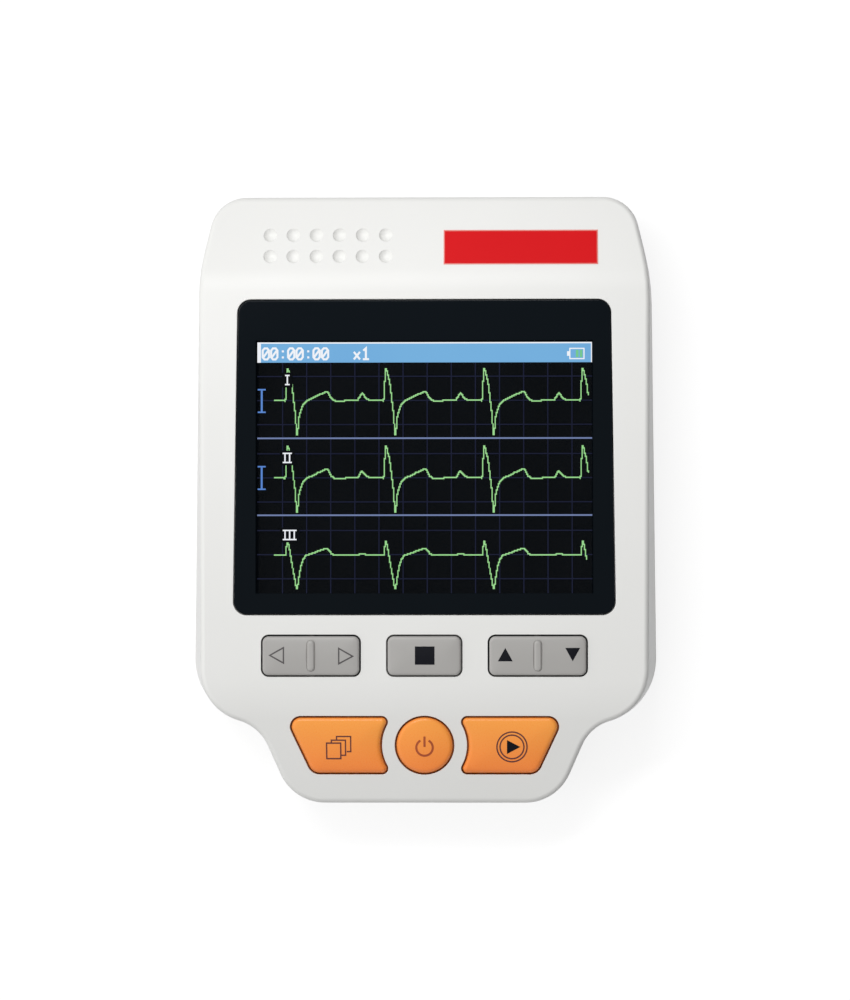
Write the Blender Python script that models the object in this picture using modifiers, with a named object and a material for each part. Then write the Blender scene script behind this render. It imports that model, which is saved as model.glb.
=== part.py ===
"""Handheld ECG monitor with a colour display, six keys and a sliding battery door.

Metres, +Z up. The monitor lies on its back: the rear face is at z = 0 and the display
looks along +Z. +Y runs to the end with the sounder dimples and +X to the reader's right.
"""

import math

import bmesh
import bpy
from mathutils import Matrix, Vector

MM = 0.001

# Display: the panel's picture, and how far the window and the module run past it
ACTIVE_WIDTH = 70.08 * MM
ACTIVE_HEIGHT = 52.56 * MM
WINDOW_SIDE_BORDER = 4.51 * MM
WINDOW_TOP_BORDER = 9.07 * MM
WINDOW_LOW_BORDER = 4.07 * MM
WINDOW_RADIUS = 2.7 * MM
WINDOW_THICKNESS = 1.4 * MM
WINDOW_GAP = 0.2 * MM
MODULE_SIDE_SETBACK = 1.1 * MM
MODULE_END_SETBACK = 0.9 * MM
MODULE_THICKNESS = 3.2 * MM
MODULE_BEZEL_DEPTH = 0.4 * MM

# Front face from the top end to the chin: brow, window, grey row, orange row
BROW_LENGTH = 18.3 * MM
BROW_MARGIN = 4.1 * MM
WINDOW_TO_KEYS = 4.5 * MM
GREY_KEY_HEIGHT = 8.9 * MM
ROW_SPACING = 8.25 * MM
ORANGE_KEY_HEIGHT = 12.2 * MM
CHIN_MARGIN = 6.55 * MM

# Housing at the parting line: its widest, and how far each corner is drawn in from there
WINDOW_TO_SIDE = 9.65 * MM
UPPER_DRAW_IN = 0.9 * MM
TOP_CORNER_DRAW_IN = 5.0 * MM
NECK_DRAW_IN = 13.3 * MM
CHIN_DRAW_IN = 21.2 * MM
TAPER_LENGTH = 17.0 * MM
SHOULDER_REACH = 20.2 * MM
NECK_REACH = 15.8 * MM
TOP_CORNER_RADIUS = 8.5 * MM
TAPER_RADIUS = 46.0 * MM
SHOULDER_RADIUS = 14.0 * MM
SHOULDER_HALF_TURN = math.radians(35)
NECK_RADIUS = 8.8 * MM
CHIN_CORNER_RADIUS = 11.2 * MM
ARC_STEP = math.radians(12)
WIDEST_ARC_STEP = math.radians(30)
ARC_TOLERANCE = 0.03 * MM

# Housing, seen from the side
BROW_SLOPE = math.radians(10)
CHIN_BEND_MARGIN = 0.6 * MM
CHIN_BEND_RADIUS = 30.0 * MM
CHIN_SLOPE = math.radians(16)
CHIN_BEND_STEPS = 4
FACE_EDGE_RADIUS = 1.6 * MM
REAR_EDGE_RADIUS = 3.0 * MM
EDGE_STEPS = 3
UPPER_DRAFT = math.radians(4.3)
SHOULDER_DRAFT = math.radians(9.3)
END_DRAFT = math.radians(3)
REAR_DRAFT = math.radians(3)

# Walls, joints between pieces, and how far a cutter runs past what it cuts
SIDE_WALL = 2.0 * MM
FACE_WALL = 2.2 * MM
REAR_WALL = 2.0 * MM
CAVITY_CHAMFER = 0.8 * MM
SEAT_GAP = 0.3 * MM
SLIDE_GAP = 0.3 * MM
LIP_THICKNESS = 0.9 * MM
LIP_HEIGHT = 1.2 * MM
LIP_GAP = 0.2 * MM
OVERRUN = 2.0 * MM
WELD_DISTANCE = 0.001 * MM
FOLD_LIMIT = math.radians(0.1)
ROUNDED_ANGLE = math.radians(50)
SHARP_ANGLE = math.radians(30)

# Display: tape, foam and the frame that holds the module
TAPE_WIDTH = 2.2 * MM
TAPE_THICKNESS = 0.3 * MM
TAPE_GAP = 0.15 * MM
LEDGE_THICKNESS = 1.5 * MM
LEDGE_RIM = 1.2 * MM
VIEW_MARGIN = 1.0 * MM
FOAM_THICKNESS = 0.4 * MM
FOAM_WIDTH = 1.4 * MM
FRAME_WALL = 1.2 * MM
FRAME_LEDGE = 2.4 * MM
FRAME_FLOOR = 2.7 * MM
FLEX_WIDTH_SHARE = 0.26
FLEX_THICKNESS = 0.3 * MM
FLEX_RUN = 2.2 * MM
FLEX_BEND_LENGTH = 2.6 * MM
FLEX_RISE = 1.0 * MM
FLEX_FOLD_SHARE = 0.4
FLEX_SLOT_MARGIN = 1.0 * MM
FLEX_CONNECTOR_DEPTH = 4.0 * MM
FLEX_CONNECTOR_HEIGHT = 1.9 * MM
FLEX_CONNECTOR_MARGIN = 1.5 * MM
FLEX_MOUTH_DEPTH = 1.5 * MM

# Main board and what stands on it
BOARD_THICKNESS = 1.6 * MM
BAY_TO_BOARD = 1.8 * MM
PARTING_TO_BOARD = 1.9 * MM
BOARD_EDGE_GAP = 1.4 * MM
BOARD_BOSS_GAP = 0.5 * MM
SHIELD_WIDTH = 32.0 * MM
SHIELD_LENGTH = 26.0 * MM
SHIELD_HEIGHT = 2.0 * MM
SHIELD_X = -14.0 * MM
SHIELD_RISE = 7.0 * MM
PROCESSOR_SIZE = 14.0 * MM
PROCESSOR_HEIGHT = 1.4 * MM
PROCESSOR_X = 18.0 * MM
PROCESSOR_RISE = 9.0 * MM
AMPLIFIER_SIZE = 10.0 * MM
AMPLIFIER_HEIGHT = 1.2 * MM
AMPLIFIER_X = 18.0 * MM
AMPLIFIER_RISE = -13.0 * MM
CHIP_EDGE = 0.3 * MM
SOUNDER_RADIUS = 6.0 * MM
SOUNDER_HEIGHT = 4.0 * MM
SOUNDER_PORT_RADIUS = 1.4 * MM
SOUNDER_PORT_DEPTH = 1.0 * MM
SOUNDER_STEPS = 24

# Sockets in the top end, and the hole that the housing has for each
LEAD_SOCKET_SIDE_REACH = 31.2 * MM
LEAD_SOCKET_WIDTH = 14.0 * MM
LEAD_SOCKET_HEIGHT = 4.2 * MM
LEAD_SOCKET_DEPTH = 9.0 * MM
DATA_SOCKET_X = 0.0 * MM
DATA_SOCKET_WIDTH = 7.7 * MM
DATA_SOCKET_HEIGHT = 3.9 * MM
DATA_SOCKET_DEPTH = 9.2 * MM
SOCKET_SHELL = 0.5 * MM
SOCKET_MOUTH_DEPTH = 6.0 * MM
SOCKET_TONGUE_HEIGHT = 0.8 * MM
SOCKET_TONGUE_MARGIN = 1.2 * MM
SOCKET_SETBACK = 0.4 * MM

# Sounder dimples in the brow
DIMPLE_COLUMNS = 6
DIMPLE_ROWS = 2
DIMPLE_PITCH_X = 4.85 * MM
DIMPLE_PITCH_Y = 4.5 * MM
DIMPLE_SIDE_REACH = 29.0 * MM
DIMPLE_CREASE_REACH = 6.95 * MM
DIMPLE_RADIUS = 1.4 * MM
DIMPLE_DEPTH = 0.7 * MM
DIMPLE_SEGMENTS = 10
DIMPLE_RINGS = 8

# Keys: two rows, proud of the face, over one silicone keypad
KEY_PROUD = 0.8 * MM
KEY_EDGE_RADIUS = 0.6 * MM
KEY_EDGE_STEPS = 2
KEY_GAP = 0.35 * MM
KEY_TRAVEL = 0.8 * MM
FLANGE_THICKNESS = 1.0 * MM
FLANGE_REACH = 0.85 * MM
KEY_STEM_RADIUS = 2.2 * MM
KEY_STEM_STEPS = 10
GREY_KEY_RADIUS = 1.5 * MM
STOP_KEY_WIDTH = 15.8 * MM
STOP_TO_ROCKER = 5.35 * MM
ROCKER_TO_SIDE = 15.05 * MM
ROCKER_PRESS_SHARE = 0.311
ROCKER_PIN_RADIUS = 0.7 * MM
ROCKER_PIN_LENGTH = 1.7 * MM
ROCKER_PIN_DEPTH = 0.9 * MM
ROCKER_RIDGE_WIDTH = 1.6 * MM
ROCKER_RIDGE_LENGTH = 6.6 * MM
ROCKER_RIDGE_HEIGHT = 0.3 * MM
RIDGE_ROUND_SHARE = 0.45
SADDLE_WIDTH = 4.0 * MM
SADDLE_THICKNESS = 1.6 * MM
SADDLE_DEPTH = 2.2 * MM
SADDLE_GAP = 0.2 * MM
SADDLE_SETBACK = 0.25 * MM
POWER_KEY_RADIUS = 6.15 * MM
POWER_KEY_STEPS = 32
HOLLOW_RADIUS = 9.0 * MM
SIDE_KEY_TO_NECK = 6.6 * MM
SIDE_KEY_TO_CHIN = 4.3 * MM
SIDE_KEY_CORNER_RADIUS = 1.2 * MM
SIDE_KEY_TOP_RADIUS = 2.2 * MM
SIDE_KEY_LOW_RADIUS = 2.6 * MM
SIDE_KEY_PRESS_INSET = 6.3 * MM

# Silicone keypad: a sheet on the board with a hollow dome and a pill under each press point
SHEET_THICKNESS = 1.2 * MM
SHEET_MARGIN = 1.5 * MM
SHEET_CORNER_RADIUS = 2.0 * MM
SHEET_WAIST_DROP = 3.35 * MM
SHEET_END_DROP = 0.9 * MM
SHEET_CHIN_INSET = 3.3 * MM
SHEET_END_INSET = 2.7 * MM
DOME_RADIUS = 4.2 * MM
DOME_ROOF_RADIUS = 2.6 * MM
DOME_HEIGHT = 2.1 * MM
DOME_WALL = 0.6 * MM
PILL_RADIUS = 1.5 * MM
PILL_GAP = 0.2 * MM
DOME_STEPS = 10

# Screws: four through the rear shell into the front one, four under the board
CASE_SCREW_SIDE_REACH = 7.7 * MM
CASE_SCREW_TOP_REACH = 12.25 * MM
CASE_SCREW_SHOULDER_RISE = 11.05 * MM
CASE_SCREW_HEAD_RADIUS = 2.1 * MM
CASE_SCREW_HEAD_HEIGHT = 1.5 * MM
CASE_SCREW_RADIUS = 1.2 * MM
CASE_SCREW_LENGTH = 13.0 * MM
CASE_SCREW_SEAT = 4.0 * MM
BOARD_SCREW_TOP_SIDE_REACH = 19.2 * MM
BOARD_SCREW_LOW_SIDE_REACH = 15.2 * MM
BOARD_SCREW_RISE = 1.45 * MM
BOARD_SCREW_HEAD_RADIUS = 1.6 * MM
BOARD_SCREW_HEAD_HEIGHT = 1.0 * MM
BOARD_SCREW_RADIUS = 0.8 * MM
BOARD_SCREW_LENGTH = 5.5 * MM
SCREW_EDGE_SHARE = 0.33
SCREW_HOLE_GAP = 0.25 * MM
SCREW_STEPS = 10
REAR_BOSS_RADIUS = 3.3 * MM
FRONT_BOSS_RADIUS = 2.8 * MM
BOARD_POST_RADIUS = 2.1 * MM
BOSS_STEPS = 16
BOSS_TO_BOARD = 0.8 * MM

# Battery, its bay and the sliding door
BATTERY_LENGTH = 53.0 * MM
BATTERY_THICKNESS = 5.7 * MM
BATTERY_EDGE = 1.0 * MM
BATTERY_TO_CHIN = 9.75 * MM
BATTERY_SIDE_INSET = 3.5 * MM
BAY_GAP = 0.4 * MM
BAY_WALL = 1.2 * MM
DOOR_SIDE_INSET = 7.5 * MM
DOOR_OVERLAP = 3.7 * MM
DOOR_RECESS = 0.2 * MM
DOOR_THICKNESS = 1.7 * MM
TONGUE_REACH = 1.1 * MM
TONGUE_THICKNESS = 0.7 * MM
RAIL_COVER = 1.2 * MM
RAIL_MARGIN = 2.6 * MM
RAIL_START_INSET = 4.2 * MM
GRIP_GROOVES = 5
GRIP_PITCH = 2.4 * MM
GRIP_LENGTH = 16.0 * MM
GRIP_WIDTH = 1.2 * MM
GRIP_ROUND_SHARE = 0.45
GRIP_DEPTH = 0.5 * MM
GRIP_TO_CHIN = 14.25 * MM
BLADE_COUNT = 3
BLADE_PITCH = 3.0 * MM
BLADE_WIDTH = 1.2 * MM
BLADE_THICKNESS = 0.4 * MM
BLADE_HEIGHT = 3.4 * MM
BLADE_NOSE_SHARE = 0.25
BLADE_SLOT_GAP = 0.3 * MM
CONNECTOR_WIDTH = 12.0 * MM
CONNECTOR_DEPTH = 3.4 * MM
CONNECTOR_RISE = 1.9 * MM
CONNECTOR_EDGE = 0.3 * MM

# Rear electrodes and the spring pins that join them to the board
ELECTRODE_WIDTH = 12.0 * MM
ELECTRODE_LENGTH = 34.0 * MM
ELECTRODE_RADIUS = 4.0 * MM
ELECTRODE_THICKNESS = 0.6 * MM
ELECTRODE_RECESS = 0.1 * MM
ELECTRODE_SIDE_REACH = 15.2 * MM
ELECTRODE_DOOR_REACH = 15.8 * MM
ELECTRODE_PIN_RADIUS = 0.9 * MM
ELECTRODE_PIN_HEIGHT = 3.4 * MM
ELECTRODE_PIN_PITCH = 20.0 * MM
SPRING_PIN_BODY_RADIUS = 1.5 * MM
SPRING_PIN_BODY_LENGTH = 4.6 * MM
SPRING_PIN_TIP_RADIUS = 0.7 * MM

# Stiffening ribs on the floor of the rear shell
RIB_THICKNESS = 1.2 * MM
RIB_HEIGHT = 3.0 * MM
RIB_PITCH = 15.0 * MM
RIB_DOOR_REACH = 16.2 * MM
RIB_COUNT = 2

# Heights that follow from the sizes above, from the battery door up to the face
DOOR_TOP = DOOR_RECESS + DOOR_THICKNESS
BATTERY_UNDERSIDE = DOOR_TOP + BAY_GAP
BATTERY_TOP = BATTERY_UNDERSIDE + BATTERY_THICKNESS
CONNECTOR_LOW = BATTERY_UNDERSIDE + CONNECTOR_RISE
BAY_ROOF_UNDERSIDE = BATTERY_TOP + BAY_GAP
BAY_ROOF_TOP = BAY_ROOF_UNDERSIDE + BAY_WALL
BOARD_UNDERSIDE = BAY_ROOF_TOP + BAY_TO_BOARD
BOARD_TOP = BOARD_UNDERSIDE + BOARD_THICKNESS
PARTING_HEIGHT = BOARD_UNDERSIDE - PARTING_TO_BOARD
BOSS_JOINT_HEIGHT = BOARD_UNDERSIDE - BOSS_TO_BOARD
STAND_HEIGHT = BOARD_TOP + SEAT_GAP
FRAME_LEDGE_TOP = STAND_HEIGHT + FRAME_FLOOR
MODULE_UNDERSIDE = FRAME_LEDGE_TOP + SEAT_GAP
MODULE_TOP = MODULE_UNDERSIDE + MODULE_THICKNESS
FOAM_TOP = MODULE_TOP + SEAT_GAP + FOAM_THICKNESS
LEDGE_UNDERSIDE = FOAM_TOP + SEAT_GAP
LEDGE_TOP = LEDGE_UNDERSIDE + LEDGE_THICKNESS
FACE_HEIGHT = LEDGE_TOP + 2 * TAPE_GAP + TAPE_THICKNESS + WINDOW_THICKNESS
FACE_UNDERSIDE = FACE_HEIGHT - FACE_WALL
FLANGE_TOP = FACE_UNDERSIDE - SEAT_GAP
FLANGE_UNDERSIDE = FLANGE_TOP - FLANGE_THICKNESS
ROCKER_AXIS_HEIGHT = FACE_UNDERSIDE - ROCKER_PIN_DEPTH
SHEET_TOP = STAND_HEIGHT + SHEET_THICKNESS
DOME_TOP = SHEET_TOP + DOME_HEIGHT
STEM_END = DOME_TOP + SEAT_GAP

# Places along the length that follow from the sizes above
WINDOW_HEIGHT = ACTIVE_HEIGHT + WINDOW_TOP_BORDER + WINDOW_LOW_BORDER
MODULE_HEIGHT = WINDOW_HEIGHT - 2 * MODULE_END_SETBACK
KEYS_LENGTH = GREY_KEY_HEIGHT + ROW_SPACING + ORANGE_KEY_HEIGHT
BODY_LENGTH = BROW_LENGTH + BROW_MARGIN + WINDOW_HEIGHT + WINDOW_TO_KEYS + KEYS_LENGTH + CHIN_MARGIN
TOP_END = BODY_LENGTH / 2
CHIN_END = -BODY_LENGTH / 2
CREASE_Y = TOP_END - BROW_LENGTH
WINDOW_CENTRE = CREASE_Y - BROW_MARGIN - WINDOW_HEIGHT / 2
ACTIVE_CENTRE = WINDOW_CENTRE - (WINDOW_TOP_BORDER - WINDOW_LOW_BORDER) / 2
GREY_ROW_Y = WINDOW_CENTRE - WINDOW_HEIGHT / 2 - WINDOW_TO_KEYS - GREY_KEY_HEIGHT / 2
ORANGE_ROW_Y = CHIN_END + CHIN_MARGIN + ORANGE_KEY_HEIGHT / 2
CHIN_BEND_Y = GREY_ROW_Y - GREY_KEY_HEIGHT / 2 - CHIN_BEND_MARGIN
SHOULDER_Y = CHIN_END + SHOULDER_REACH
NECK_Y = CHIN_END + NECK_REACH
DRAFT_PEAK_Y = SHOULDER_Y + SHOULDER_RADIUS * math.tan(SHOULDER_HALF_TURN)
SHEET_WAIST_Y = GREY_ROW_Y - GREY_KEY_HEIGHT / 2 - SHEET_WAIST_DROP
SHEET_END_Y = ORANGE_ROW_Y - ORANGE_KEY_HEIGHT / 2 - SHEET_END_DROP
DIMPLE_Y = CREASE_Y + DIMPLE_CREASE_REACH
CASE_SCREW_TOP_Y = TOP_END - CASE_SCREW_TOP_REACH
CASE_SCREW_LOW_Y = SHOULDER_Y + CASE_SCREW_SHOULDER_RISE
BOARD_SCREW_TOP_Y = CREASE_Y + BOARD_SCREW_RISE
BOARD_SCREW_LOW_Y = SHOULDER_Y + BOARD_SCREW_RISE
BATTERY_LOW_Y = CHIN_END + BATTERY_TO_CHIN
BATTERY_TOP_Y = BATTERY_LOW_Y + BATTERY_LENGTH
BAY_LOW_Y = BATTERY_LOW_Y - BAY_GAP
BAY_TOP_Y = BATTERY_TOP_Y + BAY_GAP
DOOR_TOP_Y = BATTERY_TOP_Y + DOOR_OVERLAP
GRIP_CENTRE_Y = CHIN_END + GRIP_TO_CHIN
ELECTRODE_Y = DOOR_TOP_Y + ELECTRODE_DOOR_REACH
RIB_FIRST_Y = DOOR_TOP_Y - RIB_DOOR_REACH

# Places across that follow from the sizes above
WINDOW_WIDTH = ACTIVE_WIDTH + 2 * WINDOW_SIDE_BORDER
MODULE_WIDTH = WINDOW_WIDTH - 2 * MODULE_SIDE_SETBACK
FLEX_WIDTH = MODULE_WIDTH * FLEX_WIDTH_SHARE
HALF_BODY = WINDOW_WIDTH / 2 + WINDOW_TO_SIDE
HALF_NECK = HALF_BODY - NECK_DRAW_IN
HALF_CHIN = HALF_BODY - CHIN_DRAW_IN
ROCKER_REACH = HALF_BODY - ROCKER_TO_SIDE
ROCKER_WIDTH = ROCKER_REACH - STOP_KEY_WIDTH / 2 - STOP_TO_ROCKER
ROCKER_X = ROCKER_REACH - ROCKER_WIDTH / 2
ROCKER_PRESS_REACH = ROCKER_WIDTH * ROCKER_PRESS_SHARE
SIDE_KEY_TOP_REACH = HALF_NECK - SIDE_KEY_TO_NECK
SIDE_KEY_LOW_REACH = HALF_CHIN - SIDE_KEY_TO_CHIN
SIDE_KEY_PRESS_X = SIDE_KEY_LOW_REACH - SIDE_KEY_PRESS_INSET
DIMPLE_X = DIMPLE_SIDE_REACH - HALF_BODY
LEAD_SOCKET_X = HALF_BODY - LEAD_SOCKET_SIDE_REACH
CASE_SCREW_X = HALF_BODY - CASE_SCREW_SIDE_REACH
BOARD_SCREW_TOP_X = HALF_BODY - BOARD_SCREW_TOP_SIDE_REACH
BOARD_SCREW_LOW_X = HALF_BODY - BOARD_SCREW_LOW_SIDE_REACH
ELECTRODE_X = HALF_BODY - ELECTRODE_SIDE_REACH
HALF_DOOR = HALF_CHIN - DOOR_SIDE_INSET
HALF_BATTERY = HALF_DOOR - BATTERY_SIDE_INSET

# Bare plastics, metals and rubber: colour, roughness, metallic
FINISHES = {
    "white_plastic": ((0.86, 0.86, 0.84), 0.42, 0.0),
    "grey_plastic": ((0.42, 0.41, 0.40), 0.50, 0.0),
    "key_grey": ((0.36, 0.36, 0.35), 0.45, 0.0),
    "key_orange": ((0.84, 0.28, 0.06), 0.40, 0.0),
    "window_black": ((0.01, 0.012, 0.015), 0.12, 0.0),
    "tape_black": ((0.02, 0.02, 0.02), 0.80, 0.0),
    "foam_black": ((0.03, 0.03, 0.03), 0.95, 0.0),
    "display_glass": ((0.03, 0.04, 0.06), 0.15, 0.0),
    "frame_plastic": ((0.06, 0.06, 0.07), 0.55, 0.0),
    "flex_amber": ((0.55, 0.25, 0.05), 0.40, 0.0),
    "connector_ivory": ((0.75, 0.70, 0.58), 0.50, 0.0),
    "board_green": ((0.02, 0.16, 0.07), 0.45, 0.0),
    "chip_black": ((0.02, 0.02, 0.02), 0.55, 0.0),
    "tin_plate": ((0.70, 0.70, 0.68), 0.30, 1.0),
    "sounder_black": ((0.02, 0.02, 0.02), 0.50, 0.0),
    "silicone_grey": ((0.50, 0.50, 0.50), 0.70, 0.0),
    "stainless_steel": ((0.62, 0.61, 0.59), 0.28, 1.0),
    "zinc_steel": ((0.55, 0.55, 0.56), 0.35, 1.0),
    "gold_plate": ((0.85, 0.60, 0.25), 0.30, 1.0),
    "cell_wrap": ((0.10, 0.12, 0.16), 0.50, 0.0),
}


def clear_scene():
    for thing in list(bpy.data.objects):
        bpy.data.objects.remove(thing, do_unlink=True)


def new_collection(name):
    collection = bpy.data.collections.new(name)
    bpy.context.scene.collection.children.link(collection)
    return collection


clear_scene()
MONITOR = new_collection("Handheld ECG monitor")
CUTTERS = new_collection("Cutters")


def finish_material(finish):
    """Principled material for one finish, made once and shared."""
    if finish in bpy.data.materials:
        return bpy.data.materials[finish]
    colour, roughness, metallic = FINISHES[finish]
    material = bpy.data.materials.new(finish)
    material.use_nodes = True
    shader = material.node_tree.nodes["Principled BSDF"]
    shader.inputs["Base Color"].default_value = (*colour, 1)
    shader.inputs["Roughness"].default_value = roughness
    shader.inputs["Metallic"].default_value = metallic
    return material


def add_object(name, mesh):
    """Object for the mesh, first among the cutters until dress() makes it a piece."""
    thing = bpy.data.objects.new(name, mesh)
    CUTTERS.objects.link(thing)
    thing.hide_render = True
    thing.display_type = "WIRE"
    return thing


def dress(thing, name, finish, origin=None):
    """Make the object a piece of the monitor, its origin moved to a point if one is given."""
    if origin is not None:
        thing.data.transform(Matrix.Translation(-Vector(origin)) @ thing.matrix_world)
        thing.matrix_world = Matrix.Translation(origin)
    CUTTERS.objects.unlink(thing)
    MONITOR.objects.link(thing)
    thing.name = name
    thing.hide_render = False
    thing.display_type = "TEXTURED"
    thing.data.materials.clear()
    thing.data.materials.append(finish_material(finish))
    thing.data.shade_smooth()
    thing.data.set_sharp_from_angle(angle=SHARP_ANGLE)
    return thing


def combine(target, tool, operation):
    modifier = target.modifiers.new(f"{operation.lower()} {tool.name}", "BOOLEAN")
    modifier.operation = operation
    modifier.object = tool
    modifier.solver = "EXACT"


def cut(target, *tools):
    for tool in tools:
        combine(target, tool, "DIFFERENCE")


def add(target, *tools):
    for tool in tools:
        combine(target, tool, "UNION")


def round_edges(thing, radius, steps):
    modifier = thing.modifiers.new("rounded edges", "BEVEL")
    modifier.width = radius
    modifier.segments = steps
    modifier.limit_method = "ANGLE"
    modifier.angle_limit = ROUNDED_ANGLE


def mesh_from(bm, name):
    mesh = bpy.data.meshes.new(name)
    bm.to_mesh(mesh)
    bm.free()
    return mesh


def box(name, x, y, z):
    """Box from its limits along each axis, each given as (low, high)."""
    bm = bmesh.new()
    bmesh.ops.create_cube(bm, size=1)
    size = Matrix.Diagonal((x[1] - x[0], y[1] - y[0], z[1] - z[0], 1))
    centre = Matrix.Translation(((x[0] + x[1]) / 2, (y[0] + y[1]) / 2, (z[0] + z[1]) / 2))
    bm.transform(centre @ size)
    return add_object(name, mesh_from(bm, name))


def pegs(name, places, radius, z, steps):
    """Upright cylinders of one radius at each (x, y), between two heights, as one tool."""
    bm = bmesh.new()
    for x, y in places:
        bmesh.ops.create_cone(
            bm, cap_ends=True, segments=steps, radius1=radius, radius2=radius,
            depth=z[1] - z[0], matrix=Matrix.Translation((x, y, (z[0] + z[1]) / 2)),
        )
    return add_object(name, mesh_from(bm, name))


def turned(name, profile, steps, place):
    """Solid turned about an upright axis at (x, y): (radius, z) runs down its outer side."""
    bm = bmesh.new()
    corners = [bm.verts.new((radius, 0, z)) for radius, z in profile]
    for one, other in zip(corners, corners[1:]):
        bm.edges.new((one, other))
    thing = add_object(name, mesh_from(bm, name))
    thing.location = (*place, 0)
    screw = thing.modifiers.new("turned", "SCREW")
    screw.steps = steps
    screw.render_steps = steps
    screw.use_merge_vertices = True
    screw.merge_threshold = WELD_DISTANCE
    return thing


def plate(name, loops, z):
    """Flat piece between two heights: the first loop is its rim and the rest are holes."""
    curve = bpy.data.curves.new(name, "CURVE")
    curve.dimensions = "2D"
    curve.fill_mode = "BOTH"
    curve.extrude = (z[1] - z[0]) / 2
    for loop in loops:
        spline = curve.splines.new("POLY")
        spline.points.add(len(loop) - 1)
        for knot, (x, y) in zip(spline.points, loop):
            knot.co = (x, y, 0, 1)
        spline.use_cyclic_u = True
    guide = bpy.data.objects.new(name, curve)
    CUTTERS.objects.link(guide)
    guide.location.z = (z[0] + z[1]) / 2
    bpy.context.view_layer.update()
    depsgraph = bpy.context.evaluated_depsgraph_get()
    mesh = bpy.data.meshes.new_from_object(guide.evaluated_get(depsgraph))
    bm = bmesh.new()
    bm.from_mesh(mesh)
    bmesh.ops.remove_doubles(bm, verts=bm.verts, dist=WELD_DISTANCE)
    bmesh.ops.transform(bm, matrix=guide.matrix_world, verts=bm.verts)
    bpy.data.meshes.remove(mesh)
    bpy.data.objects.remove(guide, do_unlink=True)
    return add_object(name, mesh_from(bm, name))


def arc_steps(radius, sweep):
    """Steps that keep an arc true to the tolerance, within a finest and a widest step."""
    true_step = 2 * math.acos(1 - min(1, ARC_TOLERANCE / radius)) if radius else WIDEST_ARC_STEP
    return max(1, math.ceil(abs(sweep) / max(ARC_STEP, min(WIDEST_ARC_STEP, true_step))))


def arc(centre, radius, start, sweep, hollow=False):
    """Points of an arc, each with the way out of the material that it bounds."""
    steps = arc_steps(radius, sweep)
    points = []
    for step in range(steps + 1):
        angle = start + sweep * step / steps
        direction = Vector((math.cos(angle), math.sin(angle)))
        points.append((centre + direction * radius, -direction if hollow else direction))
    return points


def rounded_path(corners):
    """Clockwise path (x, y, radius) with each inner corner rounded, and its ways out."""
    path = []
    for before, (x, y, radius), after in zip(corners, corners[1:], corners[2:]):
        corner = Vector((x, y))
        incoming = (corner - Vector(before[:2])).normalized()
        outgoing = (Vector(after[:2]) - corner).normalized()
        turn = incoming.angle_signed(outgoing)
        hollow = turn < 0
        start = corner - incoming * radius * math.tan(abs(turn) / 2)
        side = Vector((-incoming.y, incoming.x))
        centre = start + side * radius if hollow else start - side * radius
        spoke = start - centre
        path += arc(centre, radius, math.atan2(spoke.y, spoke.x), -turn, hollow)
    return path


def grown(path, gap=0):
    """Loop of (x, y) that lies a gap outside the path."""
    return [tuple(point + out * gap) for point, out in path]


def rounded_rectangle(x, y, width, height, radius):
    left, right = x - width / 2, x + width / 2
    low, high = y - height / 2, y + height / 2
    places = [(left, high), (right, high), (right, low), (left, low)]
    corners = [(*place, radius) for place in places]
    return rounded_path([corners[-1], *corners, corners[0]])


def ring_of_four(x, top, low):
    return [(-x, top), (x, top), (-x, low), (x, low)]


def share_between(value, low, high):
    """How far a value lies from one limit to the other, held between 0 and 1."""
    return min(1, max(0, (value - low) / (high - low)))


def face_height(y):
    """Height of the front face: a flat display plane, a sloping brow and a bent chin."""
    if y > CREASE_Y:
        return FACE_HEIGHT - (y - CREASE_Y) * math.tan(BROW_SLOPE)
    run = min(max(CHIN_BEND_Y - y, 0), CHIN_BEND_RADIUS * math.sin(CHIN_SLOPE))
    bend_drop = CHIN_BEND_RADIUS - math.sqrt(CHIN_BEND_RADIUS**2 - run**2)
    straight = max(CHIN_BEND_Y - y - run, 0)
    return FACE_HEIGHT - bend_drop - straight * math.tan(CHIN_SLOPE)


def chin_drop(y):
    """Fall from the display plane to the straight part of the chin, carried on past it."""
    run = CHIN_BEND_RADIUS * math.sin(CHIN_SLOPE)
    bend_drop = CHIN_BEND_RADIUS * (1 - math.cos(CHIN_SLOPE))
    return bend_drop + (CHIN_BEND_Y - y - run) * math.tan(CHIN_SLOPE)


def side_draft(y):
    """Lean of the front shell's side wall, which grows down to the shoulder."""
    if y > DRAFT_PEAK_Y:
        share = share_between(y, DRAFT_PEAK_Y, CREASE_Y)
        return SHOULDER_DRAFT + (UPPER_DRAFT - SHOULDER_DRAFT) * share
    share = share_between(y, NECK_Y, DRAFT_PEAK_Y)
    return END_DRAFT + (SHOULDER_DRAFT - END_DRAFT) * share


def with_rungs(path, heights):
    """The path with a point added wherever it passes one of the heights."""
    longer = [path[0]]
    for (point, out), (next_point, next_out) in zip(path, path[1:]):
        for y in sorted(heights, reverse=True):
            if point.y - WELD_DISTANCE > y > next_point.y + WELD_DISTANCE:
                share = (point.y - y) / (point.y - next_point.y)
                middle = out.lerp(next_out, share).normalized()
                longer.append((point.lerp(next_point, share), middle))
        longer.append((next_point, next_out))
    return longer


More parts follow.
